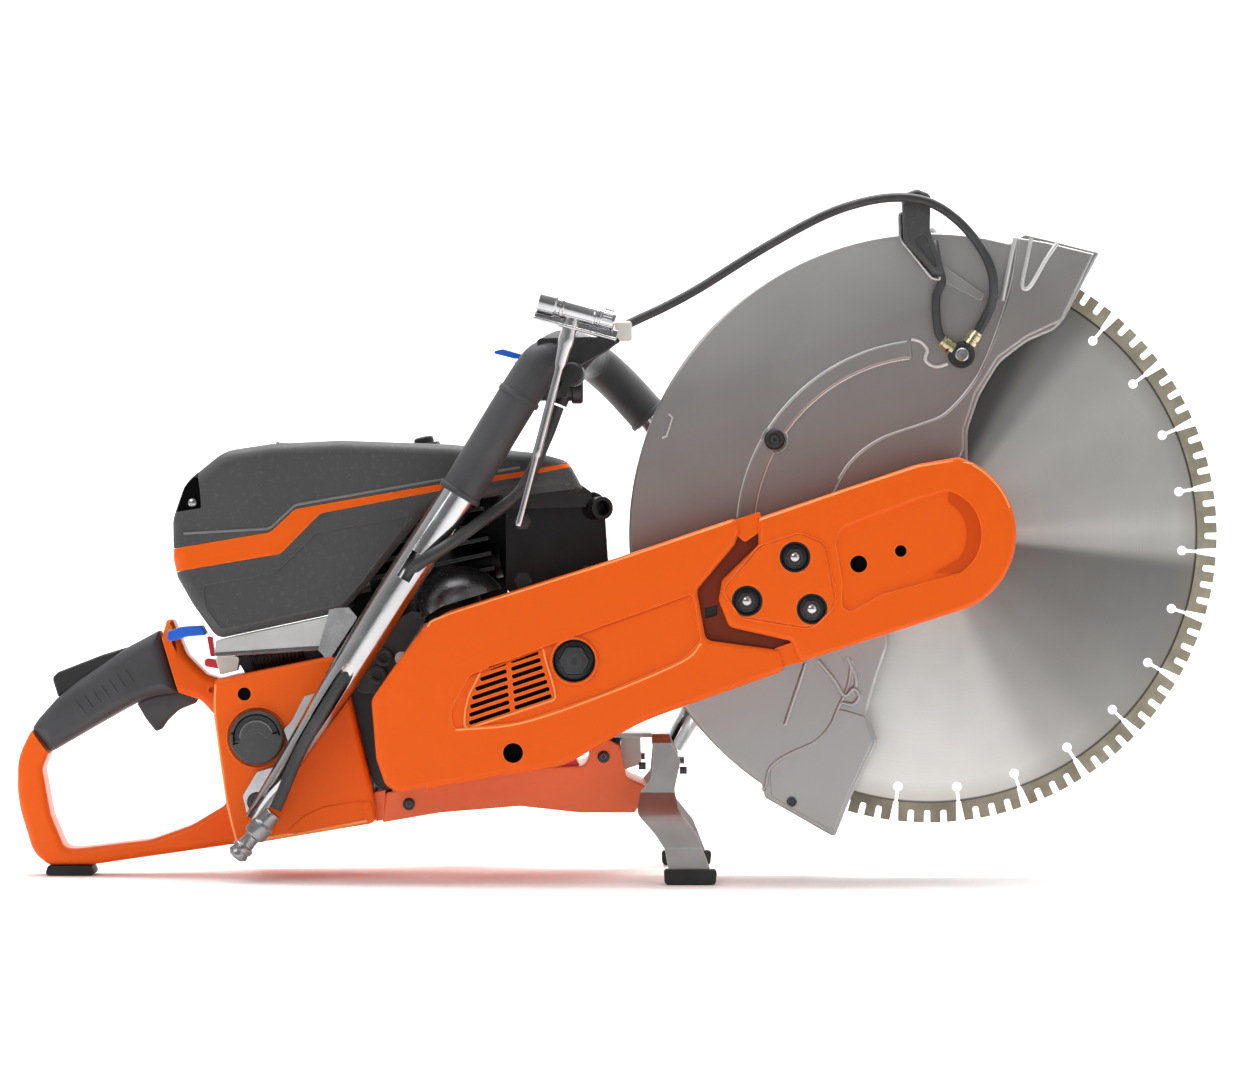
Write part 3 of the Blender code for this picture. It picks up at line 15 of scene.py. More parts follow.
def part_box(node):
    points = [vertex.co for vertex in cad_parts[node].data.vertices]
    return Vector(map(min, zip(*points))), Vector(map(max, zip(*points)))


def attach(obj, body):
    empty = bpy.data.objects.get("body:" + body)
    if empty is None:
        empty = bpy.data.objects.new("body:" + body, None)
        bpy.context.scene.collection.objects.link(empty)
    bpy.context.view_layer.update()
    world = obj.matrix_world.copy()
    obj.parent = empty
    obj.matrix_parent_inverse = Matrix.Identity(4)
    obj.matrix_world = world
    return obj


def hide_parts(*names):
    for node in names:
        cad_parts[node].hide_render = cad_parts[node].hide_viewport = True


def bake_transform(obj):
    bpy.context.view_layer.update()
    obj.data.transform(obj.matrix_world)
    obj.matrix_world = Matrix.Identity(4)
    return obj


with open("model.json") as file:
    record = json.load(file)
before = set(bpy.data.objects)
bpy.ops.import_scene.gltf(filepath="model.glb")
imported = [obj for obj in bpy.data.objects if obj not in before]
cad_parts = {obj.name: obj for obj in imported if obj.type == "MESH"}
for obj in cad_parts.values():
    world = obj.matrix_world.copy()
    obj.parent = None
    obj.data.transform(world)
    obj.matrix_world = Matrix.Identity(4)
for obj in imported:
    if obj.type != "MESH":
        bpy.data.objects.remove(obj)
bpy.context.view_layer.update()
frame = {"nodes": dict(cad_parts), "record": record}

MM = 0.001
NODES = frame["nodes"]


def node_box(name):
    """A CAD node's lowest and highest corners in millimetres."""
    low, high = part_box(name)
    return low / MM, high / MM


def node_centre(name):
    """Middle of a CAD node's box, in millimetres."""
    low, high = node_box(name)
    return (low + high) / 2


# ---------------------------------------------------------------- driving places, from the frame

BLADE_LOW, BLADE_HIGH = node_box("diamond_blade")
SPINDLE_X, BLADE_Y, SPINDLE_Z = (BLADE_LOW + BLADE_HIGH) / 2
BLADE_R = (BLADE_HIGH.z - BLADE_LOW.z) / 2
CRANK_X, _, CRANK_Z = node_centre("flywheel")
TILT = math.radians(12)
ENGINE_Y = 7.0
COVER_FACE_Y = node_box("rear_belt_cover")[0].y
COVER_BACK_Y = node_box("rear_belt_cover")[1].y
COVER_WALL = 2.5
ARM_SLOPE = math.radians(18.5)
GUARD_LOW_Y, GUARD_HIGH_Y = node_box("blade_guard")[0].y, node_box("blade_guard")[1].y
GUARD_R, GUARD_WALL = BLADE_R + 8, 2.6
TANK_RIGHT_Y, TANK_LEFT_Y = -58.0, 66.0
CAP_X, _, CAP_Z = node_centre("fuel_cap")
TENSIONER = (node_centre("belt_tensioner").x, node_centre("belt_tensioner").z)
CLAMP_BOLTS = ((501.9, 221.6), (469.4, 191.8), (513.4, 186.4))
SMOOTH = 64  # sides of a visible round piece


# ---------------------------------------------------------------- outlines


def fillet(before, corner, after, radius, steps):
    """Points of the arc that rounds one corner."""
    here = Vector(corner[:2])
    back, ahead = Vector(before[:2]) - here, Vector(after[:2]) - here
    room = 0.45 * min(back.length, ahead.length)
    back.normalize()
    ahead.normalize()
    half = back.angle(ahead) / 2
    if radius <= 0 or half > math.radians(88):
        return [tuple(here)]
    reach = min(radius / math.tan(half), room)
    radius = reach * math.tan(half)
    centre = here + (back + ahead).normalized() * radius / math.sin(half)
    start, end = here + back * reach - centre, here + ahead * reach - centre
    turn = start.angle_signed(end)
    return [
        tuple(centre + Matrix.Rotation(-turn * i / steps, 2) @ start)
        for i in range(steps + 1)
    ]


def rounded(corners, radius=0.0, steps=8):
    """A closed outline through the corners, each rounded by its own radius or by the common one."""
    points = []
    for i, corner in enumerate(corners):
        own = corner[2] if len(corner) > 2 else radius
        after = corners[(i + 1) % len(corners)]
        points += fillet(corners[i - 1], corner, after, own, steps)
    return points


def inset(corners, distance):
    """The corners moved inwards by distance, so that every side moves as far."""
    area = sum(a[0] * b[1] - b[0] * a[1] for a, b in zip(corners, corners[1:] + corners[:1]))
    side = 1 if area > 0 else -1
    moved = []
    for i, corner in enumerate(corners):
        here = Vector(corner[:2])
        along = (here - Vector(corners[i - 1][:2])).normalized()
        onward = (Vector(corners[(i + 1) % len(corners)][:2]) - here).normalized()
        normal = Vector((-along.y, along.x)) + Vector((-onward.y, onward.x))
        scale = 2 / max(normal.length_squared, 0.6)
        moved.append((*(here + normal * side * distance * scale), *corner[2:]))
    return moved


def arc(centre_x, centre_z, radius, start_deg, end_deg, steps):
    """Points on an arc, counter-clockwise when end_deg is the larger."""
    return [
        (
            centre_x + radius * math.cos(math.radians(start_deg + (end_deg - start_deg) * i / steps)),
            centre_z + radius * math.sin(math.radians(start_deg + (end_deg - start_deg) * i / steps)),
        )
        for i in range(steps + 1)
    ]


def at_y(line, y):
    """Points of an (x, z) line in the plane at y."""
    return [(x, y, z) for x, z in line]


def smooth_path(points, steps=8):
    """A Catmull-Rom curve through points of any dimension."""
    places = [Vector(p) for p in points]
    places = [2 * places[0] - places[1], *places, 2 * places[-1] - places[-2]]
    path = []
    for a, b, c, d in zip(places, places[1:], places[2:], places[3:]):
        for i in range(steps):
            t = i / steps
            bend = (2 * a - 5 * b + 4 * c - d) * t**2 + (3 * b - a - 3 * c + d) * t**3
            path.append(0.5 * (2 * b + (c - a) * t + bend))
    return [tuple(p) for p in [*path, places[-2]]]


# ---------------------------------------------------------------- solids


def new_object(name, mesh):
    obj = bpy.data.objects.new(name, mesh)
    bpy.context.scene.collection.objects.link(obj)
    return obj


def baked(obj, loose=True):
    """The object as a plain mesh in world space, with its modifiers or curve made real."""
    bpy.context.view_layer.update()
    seen = obj.evaluated_get(bpy.context.evaluated_depsgraph_get())
    mesh = bpy.data.meshes.new_from_object(seen)
    mesh.transform(obj.matrix_world)
    name = obj.name
    bpy.data.objects.remove(obj, do_unlink=True)
    bm = bmesh.new()
    bm.from_mesh(mesh)
    bmesh.ops.remove_doubles(bm, verts=bm.verts, dist=0.002 * MM)
    if loose:
        bmesh.ops.recalc_face_normals(bm, faces=bm.faces)
    else:
        bmesh.ops.dissolve_degenerate(bm, dist=0.002 * MM, edges=bm.edges)
    bm.to_mesh(mesh)
    bm.free()
    return new_object(name, mesh)


def plate(outline, low_y, high_y, holes=()):
    """A flat outline in XZ with its thickness along Y."""
    curve = bpy.data.curves.new("plate", "CURVE")
    curve.dimensions = "2D"
    curve.fill_mode = "BOTH"
    curve.extrude = (high_y - low_y) / 2 * MM
    for line in (outline, *holes):
        spline = curve.splines.new("POLY")
        spline.points.add(len(line) - 1)
        for point, (x, z) in zip(spline.points, line):
            point.co = (x * MM, z * MM, 0, 1)
        spline.use_cyclic_u = True
    obj = new_object("plate", curve)
    obj.rotation_euler = (math.pi / 2, 0, 0)
    obj.location = (0, (low_y + high_y) / 2 * MM, 0)
    return baked(obj)


def grown(corners, distance, steps):
    """The rounded outline moved inwards by distance, always with the same count of points."""
    moved = inset(corners, distance)
    area = sum(a[0] * b[1] - b[0] * a[1] for a, b in zip(corners, corners[1:] + corners[:1]))
    points = []
    for i, corner in enumerate(corners):
        if len(corner) < 3:
            points.append(moved[i][:2])
            continue
        back = Vector(corner[:2]) - Vector(corners[i - 1][:2])
        ahead = Vector(corners[(i + 1) % len(corners)][:2]) - Vector(corner[:2])
        outward = (back.x * ahead.y - back.y * ahead.x) * area > 0
        if len(fillet(corners[i - 1], corner, corners[(i + 1) % len(corners)], corner[2], steps)) == 1:
            points.append(moved[i][:2])  # the sides are in line here
            continue
        radius = max(corner[2] + (-distance if outward else distance), 0.15)
        bend = fillet(moved[i - 1], moved[i], moved[(i + 1) % len(corners)], radius, steps)
        points += bend if len(bend) > 1 else bend * (steps + 1)
    return points


def loft(name, corners, rings):
    """A closed solid through copies of one rounded outline; each ring is (distance inwards, y)."""
    bm = bmesh.new()
    loops = [
        [bm.verts.new((x * MM, y * MM, z * MM)) for x, z in grown(corners, distance, 8)]
        for distance, y in rings
    ]
    for lower, upper in zip(loops, loops[1:]):
        for i in range(len(lower)):
            bm.faces.new((lower[i - 1], lower[i], upper[i], upper[i - 1]))
    bm.faces.new(loops[0])
    bm.faces.new(reversed(loops[-1]))
    bmesh.ops.recalc_face_normals(bm, faces=bm.faces)
    mesh = bpy.data.meshes.new(name)
    bm.to_mesh(mesh)
    bm.free()
    return new_object(name, mesh)


def pillow(corners, low_y, high_y, near, far=None, steps=5):
    """A plate whose edges are rolled over by near on the low-Y face and by far on the high-Y face."""
    far = near if far is None else far
    turns = [math.pi / 2 * i / steps for i in range(steps + 1)]
    rings = [(near * (1 - math.sin(a)), low_y + near * (1 - math.cos(a))) for a in turns]
    rings += [(far * (1 - math.sin(a)), high_y - far * (1 - math.cos(a))) for a in reversed(turns)]
    if not near:
        rings = rings[steps:]
    if not far:
        rings = rings[:-steps]
    return loft("pillow", corners, rings)


def lathe(profile, centre, axis=(0, 1, 0), steps=SMOOTH):
    """A profile of (radius, height) turned about an axis. A ring's profile comes back to its first point."""
    mesh = bpy.data.meshes.new("lathe")
    closed = profile[0] == profile[-1]
    points = profile[:-1] if closed else profile
    edges = [(i, i + 1) for i in range(len(points) - 1)]
    if closed:
        edges.append((len(points) - 1, 0))
    mesh.from_pydata([(r * MM, 0, h * MM) for r, h in points], edges, [])
    obj = new_object("lathe", mesh)
    screw = obj.modifiers.new("Screw", "SCREW")
    screw.steps = screw.render_steps = steps
    screw.use_merge_vertices = True
    screw.merge_threshold = 0.00001
    turn = Vector((0, 0, 1)).rotation_difference(Vector(axis))
    obj.matrix_world = Matrix.Translation(Vector(centre) * MM) @ turn.to_matrix().to_4x4()
    return baked(obj)


def disc(x, z, radius, low_y, high_y, steps=SMOOTH):
    """A round plate between two places in Y."""
    return lathe([(0, high_y), (radius, high_y), (radius, low_y), (0, low_y)], (x, 0, z), steps=steps)


def rod(start, end, radius, sides=32, end_radius=None):
    """A round bar between two points."""
    a, b = Vector(start) * MM, Vector(end) * MM
    mesh = bpy.data.meshes.new("rod")
    bm = bmesh.new()
    far_radius = radius if end_radius is None else end_radius
    bmesh.ops.create_cone(
        bm, cap_ends=True, segments=sides, radius1=radius * MM, radius2=far_radius * MM, depth=(b - a).length)
    turn = Vector((0, 0, 1)).rotation_difference(b - a)
    place = Matrix.Translation((a + b) / 2) @ turn.to_matrix().to_4x4()
    bmesh.ops.transform(bm, matrix=place, verts=bm.verts)
    bm.to_mesh(mesh)
    bm.free()
    return new_object("rod", mesh)


def box(low, high, place=None):
    """A block between two corners, moved by place."""
    low, high = Vector(low) * MM, Vector(high) * MM
    mesh = bpy.data.meshes.new("box")
    bm = bmesh.new()
    size = Matrix.Diagonal((*(high - low), 1))
    own = Matrix.Translation((low + high) / 2) @ size
    bmesh.ops.create_cube(bm, size=1, matrix=(place or Matrix()) @ own)
    bm.to_mesh(mesh)
    bm.free()
    return new_object("box", mesh)


def tube(points, radius, sides=20, widths=None, closed=False):
    """A round tube along points; widths scale its radius point by point."""
    curve = bpy.data.curves.new("tube", "CURVE")
    curve.dimensions = "3D"
    curve.bevel_depth = radius * MM
    curve.bevel_resolution = (sides - 4) // 2
    curve.use_fill_caps = not closed
    spline = curve.splines.new("POLY")
    spline.points.add(len(points) - 1)
    spline.use_cyclic_u = closed
    for i, (point, place) in enumerate(zip(spline.points, points)):
        point.co = (*(Vector(place) * MM), 1)
        point.radius = widths[i] if widths else 1
    return baked(new_object("tube", curve))


def flow(points, radius, sides=20, widths=None, steps=8):
    """A tube along the smooth curve through the points."""
    if widths:
        line = smooth_path([(*p, w) for p, w in zip(points, widths)], steps)
        return tube([p[:3] for p in line], radius, sides, [p[3] for p in line])
    return tube(smooth_path(points, steps), radius, sides)


def joined(first, *others):
    return combined(first, others, "UNION")


def cut(first, *others):
    return combined(first, others, "DIFFERENCE")


def common(first, *others):
    return combined(first, others, "INTERSECT")


def volume(obj):
    """Volume of a closed mesh, in cubic metres."""
    bm = bmesh.new()
    bm.from_mesh(obj.data)
    size = bm.calc_volume(signed=True)
    bm.free()
    return size


def plausible(operation, before, tool, after):
    """False where a Boolean has lost its solid."""
    if operation == "UNION":
        return after > 0.98 * max(before, tool)
    if operation == "DIFFERENCE":
        return before * 1.001 > after > 0.98 * (before - tool) and after > 0
    return 0 < after < 1.001 * min(before, tool)


def combined(first, others, operation):
    """A Boolean of solids, made real at once; the other solids are used up."""
    for other in others:
        before, tool, name = volume(first), volume(other), first.name
        for solver, own in (("EXACT", False), ("EXACT", True), ("FAST", False)):
            trial = new_object("trial", first.data.copy())
            modifier = trial.modifiers.new(operation, "BOOLEAN")
            modifier.operation = operation
            modifier.solver = solver
            modifier.use_self = own
            modifier.object = other
            trial = baked(trial, loose=False)
            if plausible(operation, before, tool, volume(trial)):
                break
            bpy.data.objects.remove(trial, do_unlink=True)
        else:
            raise RuntimeError(f"Boolean {operation} failed on {name}")
        bpy.data.objects.remove(first, do_unlink=True)
        bpy.data.objects.remove(other, do_unlink=True)
        first = trial
    return first


def soft(obj, width, segments=3, angle=35):
    """Rounds every edge sharper than the angle."""
    modifier = obj.modifiers.new("Bevel", "BEVEL")
    modifier.width = width * MM
    modifier.segments = segments
    modifier.limit_method = "ANGLE"
    modifier.angle_limit = math.radians(angle)
    modifier.use_clamp_overlap = True
    return baked(obj, loose=False)


def slab(corners, low_y, high_y, width, segments=3):
    """A flat plate with rounded corners, its edges rounded by width."""
    return soft(plate(rounded(corners), low_y, high_y), width, segments)


def group(*objects):
    """Several closed bodies as one object."""
    first = objects[0]
    bm = bmesh.new()
    for obj in objects:
        obj.data.transform(obj.matrix_world)
        bm.from_mesh(obj.data)
    mesh = bpy.data.meshes.new("group")
    bm.to_mesh(mesh)
    bm.free()
    for obj in objects[1:]:
        bpy.data.objects.remove(obj, do_unlink=True)
    name = first.name
    bpy.data.objects.remove(first, do_unlink=True)
    return new_object(name, mesh)


def copied(node, width, segments=2, angle=35):
    """A CAD node's shape as a new piece, its flat faces made whole again and its edges rounded."""
    mesh = NODES[node].data.copy()
    bm = bmesh.new()
    bm.from_mesh(mesh)
    bmesh.ops.remove_doubles(bm, verts=bm.verts, dist=0.003 * MM)
    bmesh.ops.dissolve_limit(bm, angle_limit=math.radians(0.6), verts=bm.verts, edges=bm.edges)
    bm.to_mesh(mesh)
    bm.free()
    return soft(new_object(node + "_copy", mesh), width, segments, angle)


def piece(obj, name, look, body, *nodes, slot=None):
    """Names a piece, gives it its material, sets the body it rides on, and hides the CAD nodes it stands for.
    """
    obj.name = obj.data.name = name
    obj.data.materials.clear()
    obj.data.materials.append(LOOKS[look])
    obj.data.shade_smooth()
    obj.data.set_sharp_from_angle(angle=math.radians(40))
    weighted = obj.modifiers.new("WeightedNormal", "WEIGHTED_NORMAL")
    weighted.keep_sharp = True
    weighted.weight = 90
    if body:
        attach(obj, body)
    slot or SLOT_OF_LOOK[look]
    if nodes:
        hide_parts(*nodes)
    return obj


# The engine's own frame: Z up the cylinder from the crank, X forwards.
ENGINE = Matrix.Translation(Vector((CRANK_X, 0, CRANK_Z)) * MM) @ Matrix.Rotation(-TILT, 4, "Y")
UP_CYLINDER = tuple(ENGINE.to_3x3() @ Vector((0, 0, 1)))


def in_engine(x, y, height):
    """World place of a point given in the engine's frame."""
    return tuple(ENGINE @ (Vector((x, y, height)) * MM) / MM)


# ---------------------------------------------------------------- materials


class Nodes:
    """A material's node tree, with short calls for the nodes used below."""

    def __init__(self, name):
        self.material = bpy.data.materials.new(name)
        self.material.use_nodes = True
        self.tree = self.material.node_tree
        self.shader = self.tree.nodes["Principled BSDF"]
        self.place = self.tree.nodes.new("ShaderNodeTexCoord").outputs["Object"]

    def add(self, kind, links=(), **values):
        made = self.tree.nodes.new(kind)
        for key, value in values.items():
            setattr(made, key, value)
        for socket, source in dict(links).items():
            target = made.inputs[socket]
            if isinstance(source, bpy.types.NodeSocket):
                self.tree.links.new(source, target)
            else:
                target.default_value = source
        return made

    def noise(self, scale, detail=3.0, rough=0.55, stretch=None, place=None):
        source = place or self.place
        if stretch:
            source = self.add("ShaderNodeMapping", {"Vector": source, "Scale": stretch}).outputs["Vector"]
        values = {"Vector": source, "Scale": scale, "Detail": detail, "Roughness": rough}
        return self.add("ShaderNodeTexNoise", values).outputs["Fac"]

    def ramp(self, value, low, high, start=0.35, end=0.65):
        values = {"Value": value, "From Min": start, "From Max": end, "To Min": low, "To Max": high}
        return self.add("ShaderNodeMapRange", values).outputs["Result"]

    def math(self, operation, first, second):
        return self.add("ShaderNodeMath", {0: first, 1: second}, operation=operation).outputs[0]

    def mix(self, share, first, second, blend="MIX"):
        made = self.add("ShaderNodeMix", data_type="RGBA", blend_type=blend)
        for socket, source in ((0, share), (6, first), (7, second)):
            if isinstance(source, bpy.types.NodeSocket):
                self.tree.links.new(source, made.inputs[socket])
            else:
                made.inputs[socket].default_value = source
        return made.outputs[2]

    def edges(self, reach=1.1):
        """Mask for painted highlights: 1 along edges within reach in millimetres, 0 on flats."""
        # The Bevel node's rounded normal marks the edges that take painted highlights.
        wear_and_highlight = self.add("ShaderNodeBevel", {"Radius": reach * MM}, samples=4).outputs["Normal"]
        true = self.add("ShaderNodeNewGeometry").outputs["Normal"]
        same = self.add("ShaderNodeVectorMath", {0: wear_and_highlight, 1: true}, operation="DOT_PRODUCT").outputs["Value"]
        return self.ramp(same, 1.0, 0.0, 0.80, 0.985)

    def bump(self, heights, strength=0.2, distance=0.0002):
        normal = None
        for height, share in heights:
            links = {"Height": height, "Strength": strength * share, "Distance": distance}
            if normal is not None:
                links["Normal"] = normal
            normal = self.add("ShaderNodeBump", links).outputs["Normal"]
        self.tree.links.new(normal, self.shader.inputs["Normal"])

    def set(self, socket, source):
        target = self.shader.inputs[socket]
        if isinstance(source, bpy.types.NodeSocket):
            self.tree.links.new(source, target)
        else:
            target.default_value = source


def rgba(colour, factor=1.0):
    return (*(min(c * factor, 1.0) for c in colour), 1.0)


def plastic(name, colour, rough, grain=0.25, grain_scale=1800, coat=0.0, shade=0.85, dust=0.0, glow=1.25,
            rim=None, shine=0.5):
    """Moulded plastic: fine grain, slow colour drift, painted highlights along the edges and a little dust.
    """
    n = Nodes(name)
    drift = n.noise(9, 1.0)
    base = n.mix(n.ramp(drift, 0, 1), rgba(colour, shade), rgba(colour))
    # Painted highlight: edges lightened to the rim colour, or to the colour times glow.
    base = n.mix(n.edges(), base, rgba(rim or colour, 1.0 if rim else glow))
    if dust:
        specks = n.noise(260, 2, 0.7)
        base = n.mix(n.ramp(specks, 0, dust, 0.55, 0.72), base, (0.45, 0.43, 0.40, 1))
    n.set("Base Color", base)
    n.set("Roughness", n.ramp(n.noise(25, 2), rough - 0.02, rough + 0.03))
    n.set("Specular IOR Level", shine)
    n.set("Coat Weight", coat)
    n.set("Coat Roughness", 0.12)
    n.bump([(n.noise(grain_scale, 2), 1.0), (n.noise(90, 2), 0.25)], grain, 0.00012)
    return n.material


def rubber(name, colour, rough=0.75, dimple=0.35):
    """Soft rubber: fine leather-like dimples and paler handled patches."""
    n = Nodes(name)
    wear_and_highlight = n.ramp(n.noise(22, 5), 0, 1, 0.45, 0.70)
    n.set("Base Color", n.mix(wear_and_highlight, rgba(colour), rgba(colour, 1.45)))
    n.set("Roughness", n.ramp(n.noise(40, 3), rough - 0.10, rough + 0.10))
    cells = n.add("ShaderNodeTexVoronoi", {"Vector": n.place, "Scale": 900.0}).outputs["Distance"]
    n.bump([(cells, 1.0), (n.noise(2400, 2), 0.5)], dimple, 0.0001)
    return n.material


def metal(name, colour, rough, brushed=None, scratch=0.15, grime=0.3, edge=1.3, metallic=1.0, cast=0.0,
          even=False):
    """Bare or coated metal: brushing or cast grain, painted highlights along the edges and darker grime
    patches at random.
    """
    n = Nodes(name)
    patches = n.ramp(n.noise(18, 5), 0, 1, 0.40, 0.70)
    base = n.mix(patches, rgba(colour, 1 - grime), rgba(colour))
    # Painted highlight: edges lightened by the factor edge.
    base = n.mix(n.edges(), base, rgba(colour, edge))
    n.set("Base Color", base)
    n.set("Metallic", metallic)
    spread = 0.01 if even else 0.08
    n.set("Roughness", n.ramp(n.noise(70, 5), rough - spread, rough + spread))
    heights = [(n.noise(1500, 3), 0.6 + cast * 3)]
    if brushed:
        heights.append((n.noise(400, 3, 0.6, stretch=brushed), 1.0))
    if cast:
        heights.append((n.noise(420, 3), cast * 4))
    n.bump(heights, scratch, 0.00008 + 0.0002 * cast)
    return n.material


def guard_paint():
    """Satin grey paint, with a warm, darker painted reflection of the arm just above it, painted light paler
    towards the tail and the top, and painted highlights along the edges.
    """
    n = Nodes("guard")
    parts = n.add("ShaderNodeSeparateXYZ", {"Vector": n.place})
    fall = n.math("MULTIPLY", parts.outputs["X"], -math.tan(ARM_SLOPE))
    height = n.math("ADD", parts.outputs["Z"], fall)  # above the arm's lower edge, square to its slope
    drift = n.noise(7, 1.0)
    base = n.mix(n.ramp(drift, 0, 1), (0.345, 0.340, 0.335, 1), (0.375, 0.370, 0.364, 1))
    # Painted reflection of the arm: warmer and darker just above it.
    base = n.mix(n.ramp(height, 0.75, 0, 0.085, 0.20), base, (0.30, 0.225, 0.205, 1))
    # Painted light: paler below the arm's edge, towards the tail.
    base = n.mix(n.ramp(height, 1, 0, 0.0, 0.05), base, (0.42, 0.42, 0.415, 1))
    # Painted light: paler towards the top.
    base = n.mix(n.ramp(height, 0, 0.8, 0.19, 0.27), base, (0.62, 0.61, 0.60, 1))
    # Painted highlight along the edges.
    base = n.mix(n.edges(), base, (0.85, 0.84, 0.83, 1))
    n.set("Base Color", base)
    n.set("Metallic", 0.7)
    n.set("Roughness", n.ramp(n.noise(30, 2), 0.33, 0.37))
    n.bump([(n.noise(1500, 3), 0.6)], 0.08, 0.00008)
    return n.material


def set_fans(ramp):
    """Painted reflection: brightness of the ground steel by direction from the spindle, in degrees."""
    stops = (
        (-180, 0.75), (-130, 0.97), (-97, 1.0), (-72, 0.92), (-58, 0.60), (-42, 0.46), (-22, 0.38),
        (-8, 0.34), (-3, 0.85), (2, 1.0), (8, 0.88), (20, 0.84), (35, 0.94), (48, 0.92), (56, 0.55),
        (65, 0.20), (76, 0.2), (100, 0.4), (180, 0.75),
    )
    while len(ramp.elements) < len(stops):
        ramp.elements.new(0.5)
    for element, (degrees, level) in zip(ramp.elements, stops):
        element.position = (degrees + 180) / 360
        element.color = (level, level * 0.99, level * 0.975, 1)
    ramp.interpolation = "EASE"


def blade_core():
    """Ground blade disc: rings of fine grinding about the spindle, its anisotropic sheen, and radial fans of
    light painted into its colour by direction.
    """
    n = Nodes("blade_core")
    spindle = (SPINDLE_X * MM, BLADE_Y * MM, SPINDLE_Z * MM)
    offset = n.add("ShaderNodeVectorMath", {0: n.place, 1: spindle}, operation="SUBTRACT").outputs[0]
    parts = n.add("ShaderNodeSeparateXYZ", {"Vector": offset})
    flat = n.add("ShaderNodeCombineXYZ", {"X": parts.outputs["X"], "Y": parts.outputs["Z"]}).outputs[0]
    radius = n.add("ShaderNodeVectorMath", {0: flat}, operation="LENGTH").outputs["Value"]
    rings = n.add("ShaderNodeCombineXYZ", {"X": radius}).outputs[0]
    grind = n.noise(2600, 4, 0.7, place=rings)
    arcs = n.noise(9, 3, 0.6, place=offset)
    grains = n.noise(700, 3, 0.7, place=offset)
    base = n.mix(n.ramp(grind, 0, 1, 0.3, 0.7), (0.80, 0.79, 0.77, 1), (0.97, 0.96, 0.94, 1))
    base = n.mix(n.ramp(arcs, 0, 0.22, 0.4, 0.7), base, (0.44, 0.43, 0.42, 1))
    # Painted reflection: fans of light by direction from the spindle.
    angle = n.math("ARCTAN2", parts.outputs["Z"], parts.outputs["X"])
    fans = n.add("ShaderNodeValToRGB", {"Fac": n.ramp(angle, 0, 1, -math.pi, math.pi)})
    set_fans(fans.color_ramp)
    base = n.mix(1.0, base, fans.outputs["Color"], "MULTIPLY")
    base = n.mix(n.ramp(radius, 0, 0.35, 0.172, 0.184), base, (0.36, 0.31, 0.24, 1))
    base = n.mix(n.ramp(radius, 0, 0.85, 0.1845, 0.1855), base, (0.05, 0.045, 0.04, 1))
    n.set("Base Color", base)
    n.set("Metallic", 1.0)
    n.set("Roughness", n.ramp(grains, 0.30, 0.35))
    n.set("Anisotropic", 0.7)
    n.set("Tangent", n.add("ShaderNodeTangent", direction_type="RADIAL", axis="Y").outputs["Tangent"])
    n.bump([(grind, 1.0), (grains, 0.2)], 0.05, 0.00004)
    return n.material


def diamond_grit():
    """Sintered segment: bronze-coloured metal with dark grit and pits."""
    n = Nodes("diamond_grit")
    grit = n.add("ShaderNodeTexVoronoi", {"Vector": n.place, "Scale": 1400.0}).outputs["Distance"]
    base = n.mix(n.ramp(n.noise(45, 4), 0, 1), (0.27, 0.245, 0.18, 1), (0.40, 0.37, 0.29, 1))
    base = n.mix(n.ramp(grit, 0.55, 0, 0.05, 0.35), base, (0.10, 0.09, 0.08, 1))
    n.set("Base Color", base)
    n.set("Metallic", 0.55)
    n.set("Roughness", 0.62)
    n.bump([(grit, 1.0), (n.noise(900, 3), 0.8)], 0.5, 0.0002)
    return n.material


def hose_rubber():
    """Braided hose cover: fine diagonal weave under a satin rubber skin."""
    n = Nodes("hose_rubber")
    waves = [
        n.add("ShaderNodeTexWave", {"Vector": n.place, "Scale": 420.0, "Distortion": 0.6},
              wave_type="BANDS", bands_direction=way).outputs["Fac"]
        for way in ("DIAGONAL", "Z")
    ]
    patches = n.ramp(n.noise(30, 4), 0, 1)
    n.set("Base Color", n.mix(patches, (0.020, 0.020, 0.022, 1), (0.048, 0.048, 0.050, 1)))
    n.set("Roughness", 0.45)
    n.bump([(waves[0], 0.6), (waves[1], 0.4)], 0.12, 0.00008)
    return n.material


def filter_paper():
    """Pleated filter's paper: pale fibres with darker patches of dust."""
    n = Nodes("filter_paper")
    patches = n.ramp(n.noise(60, 5), 0, 1)
    n.set("Base Color", n.mix(patches, (0.62, 0.54, 0.36, 1), (0.80, 0.74, 0.55, 1)))
    n.set("Roughness", 0.95)
    n.bump([(n.noise(1600, 3), 1.0)], 0.4, 0.0001)
    return n.material
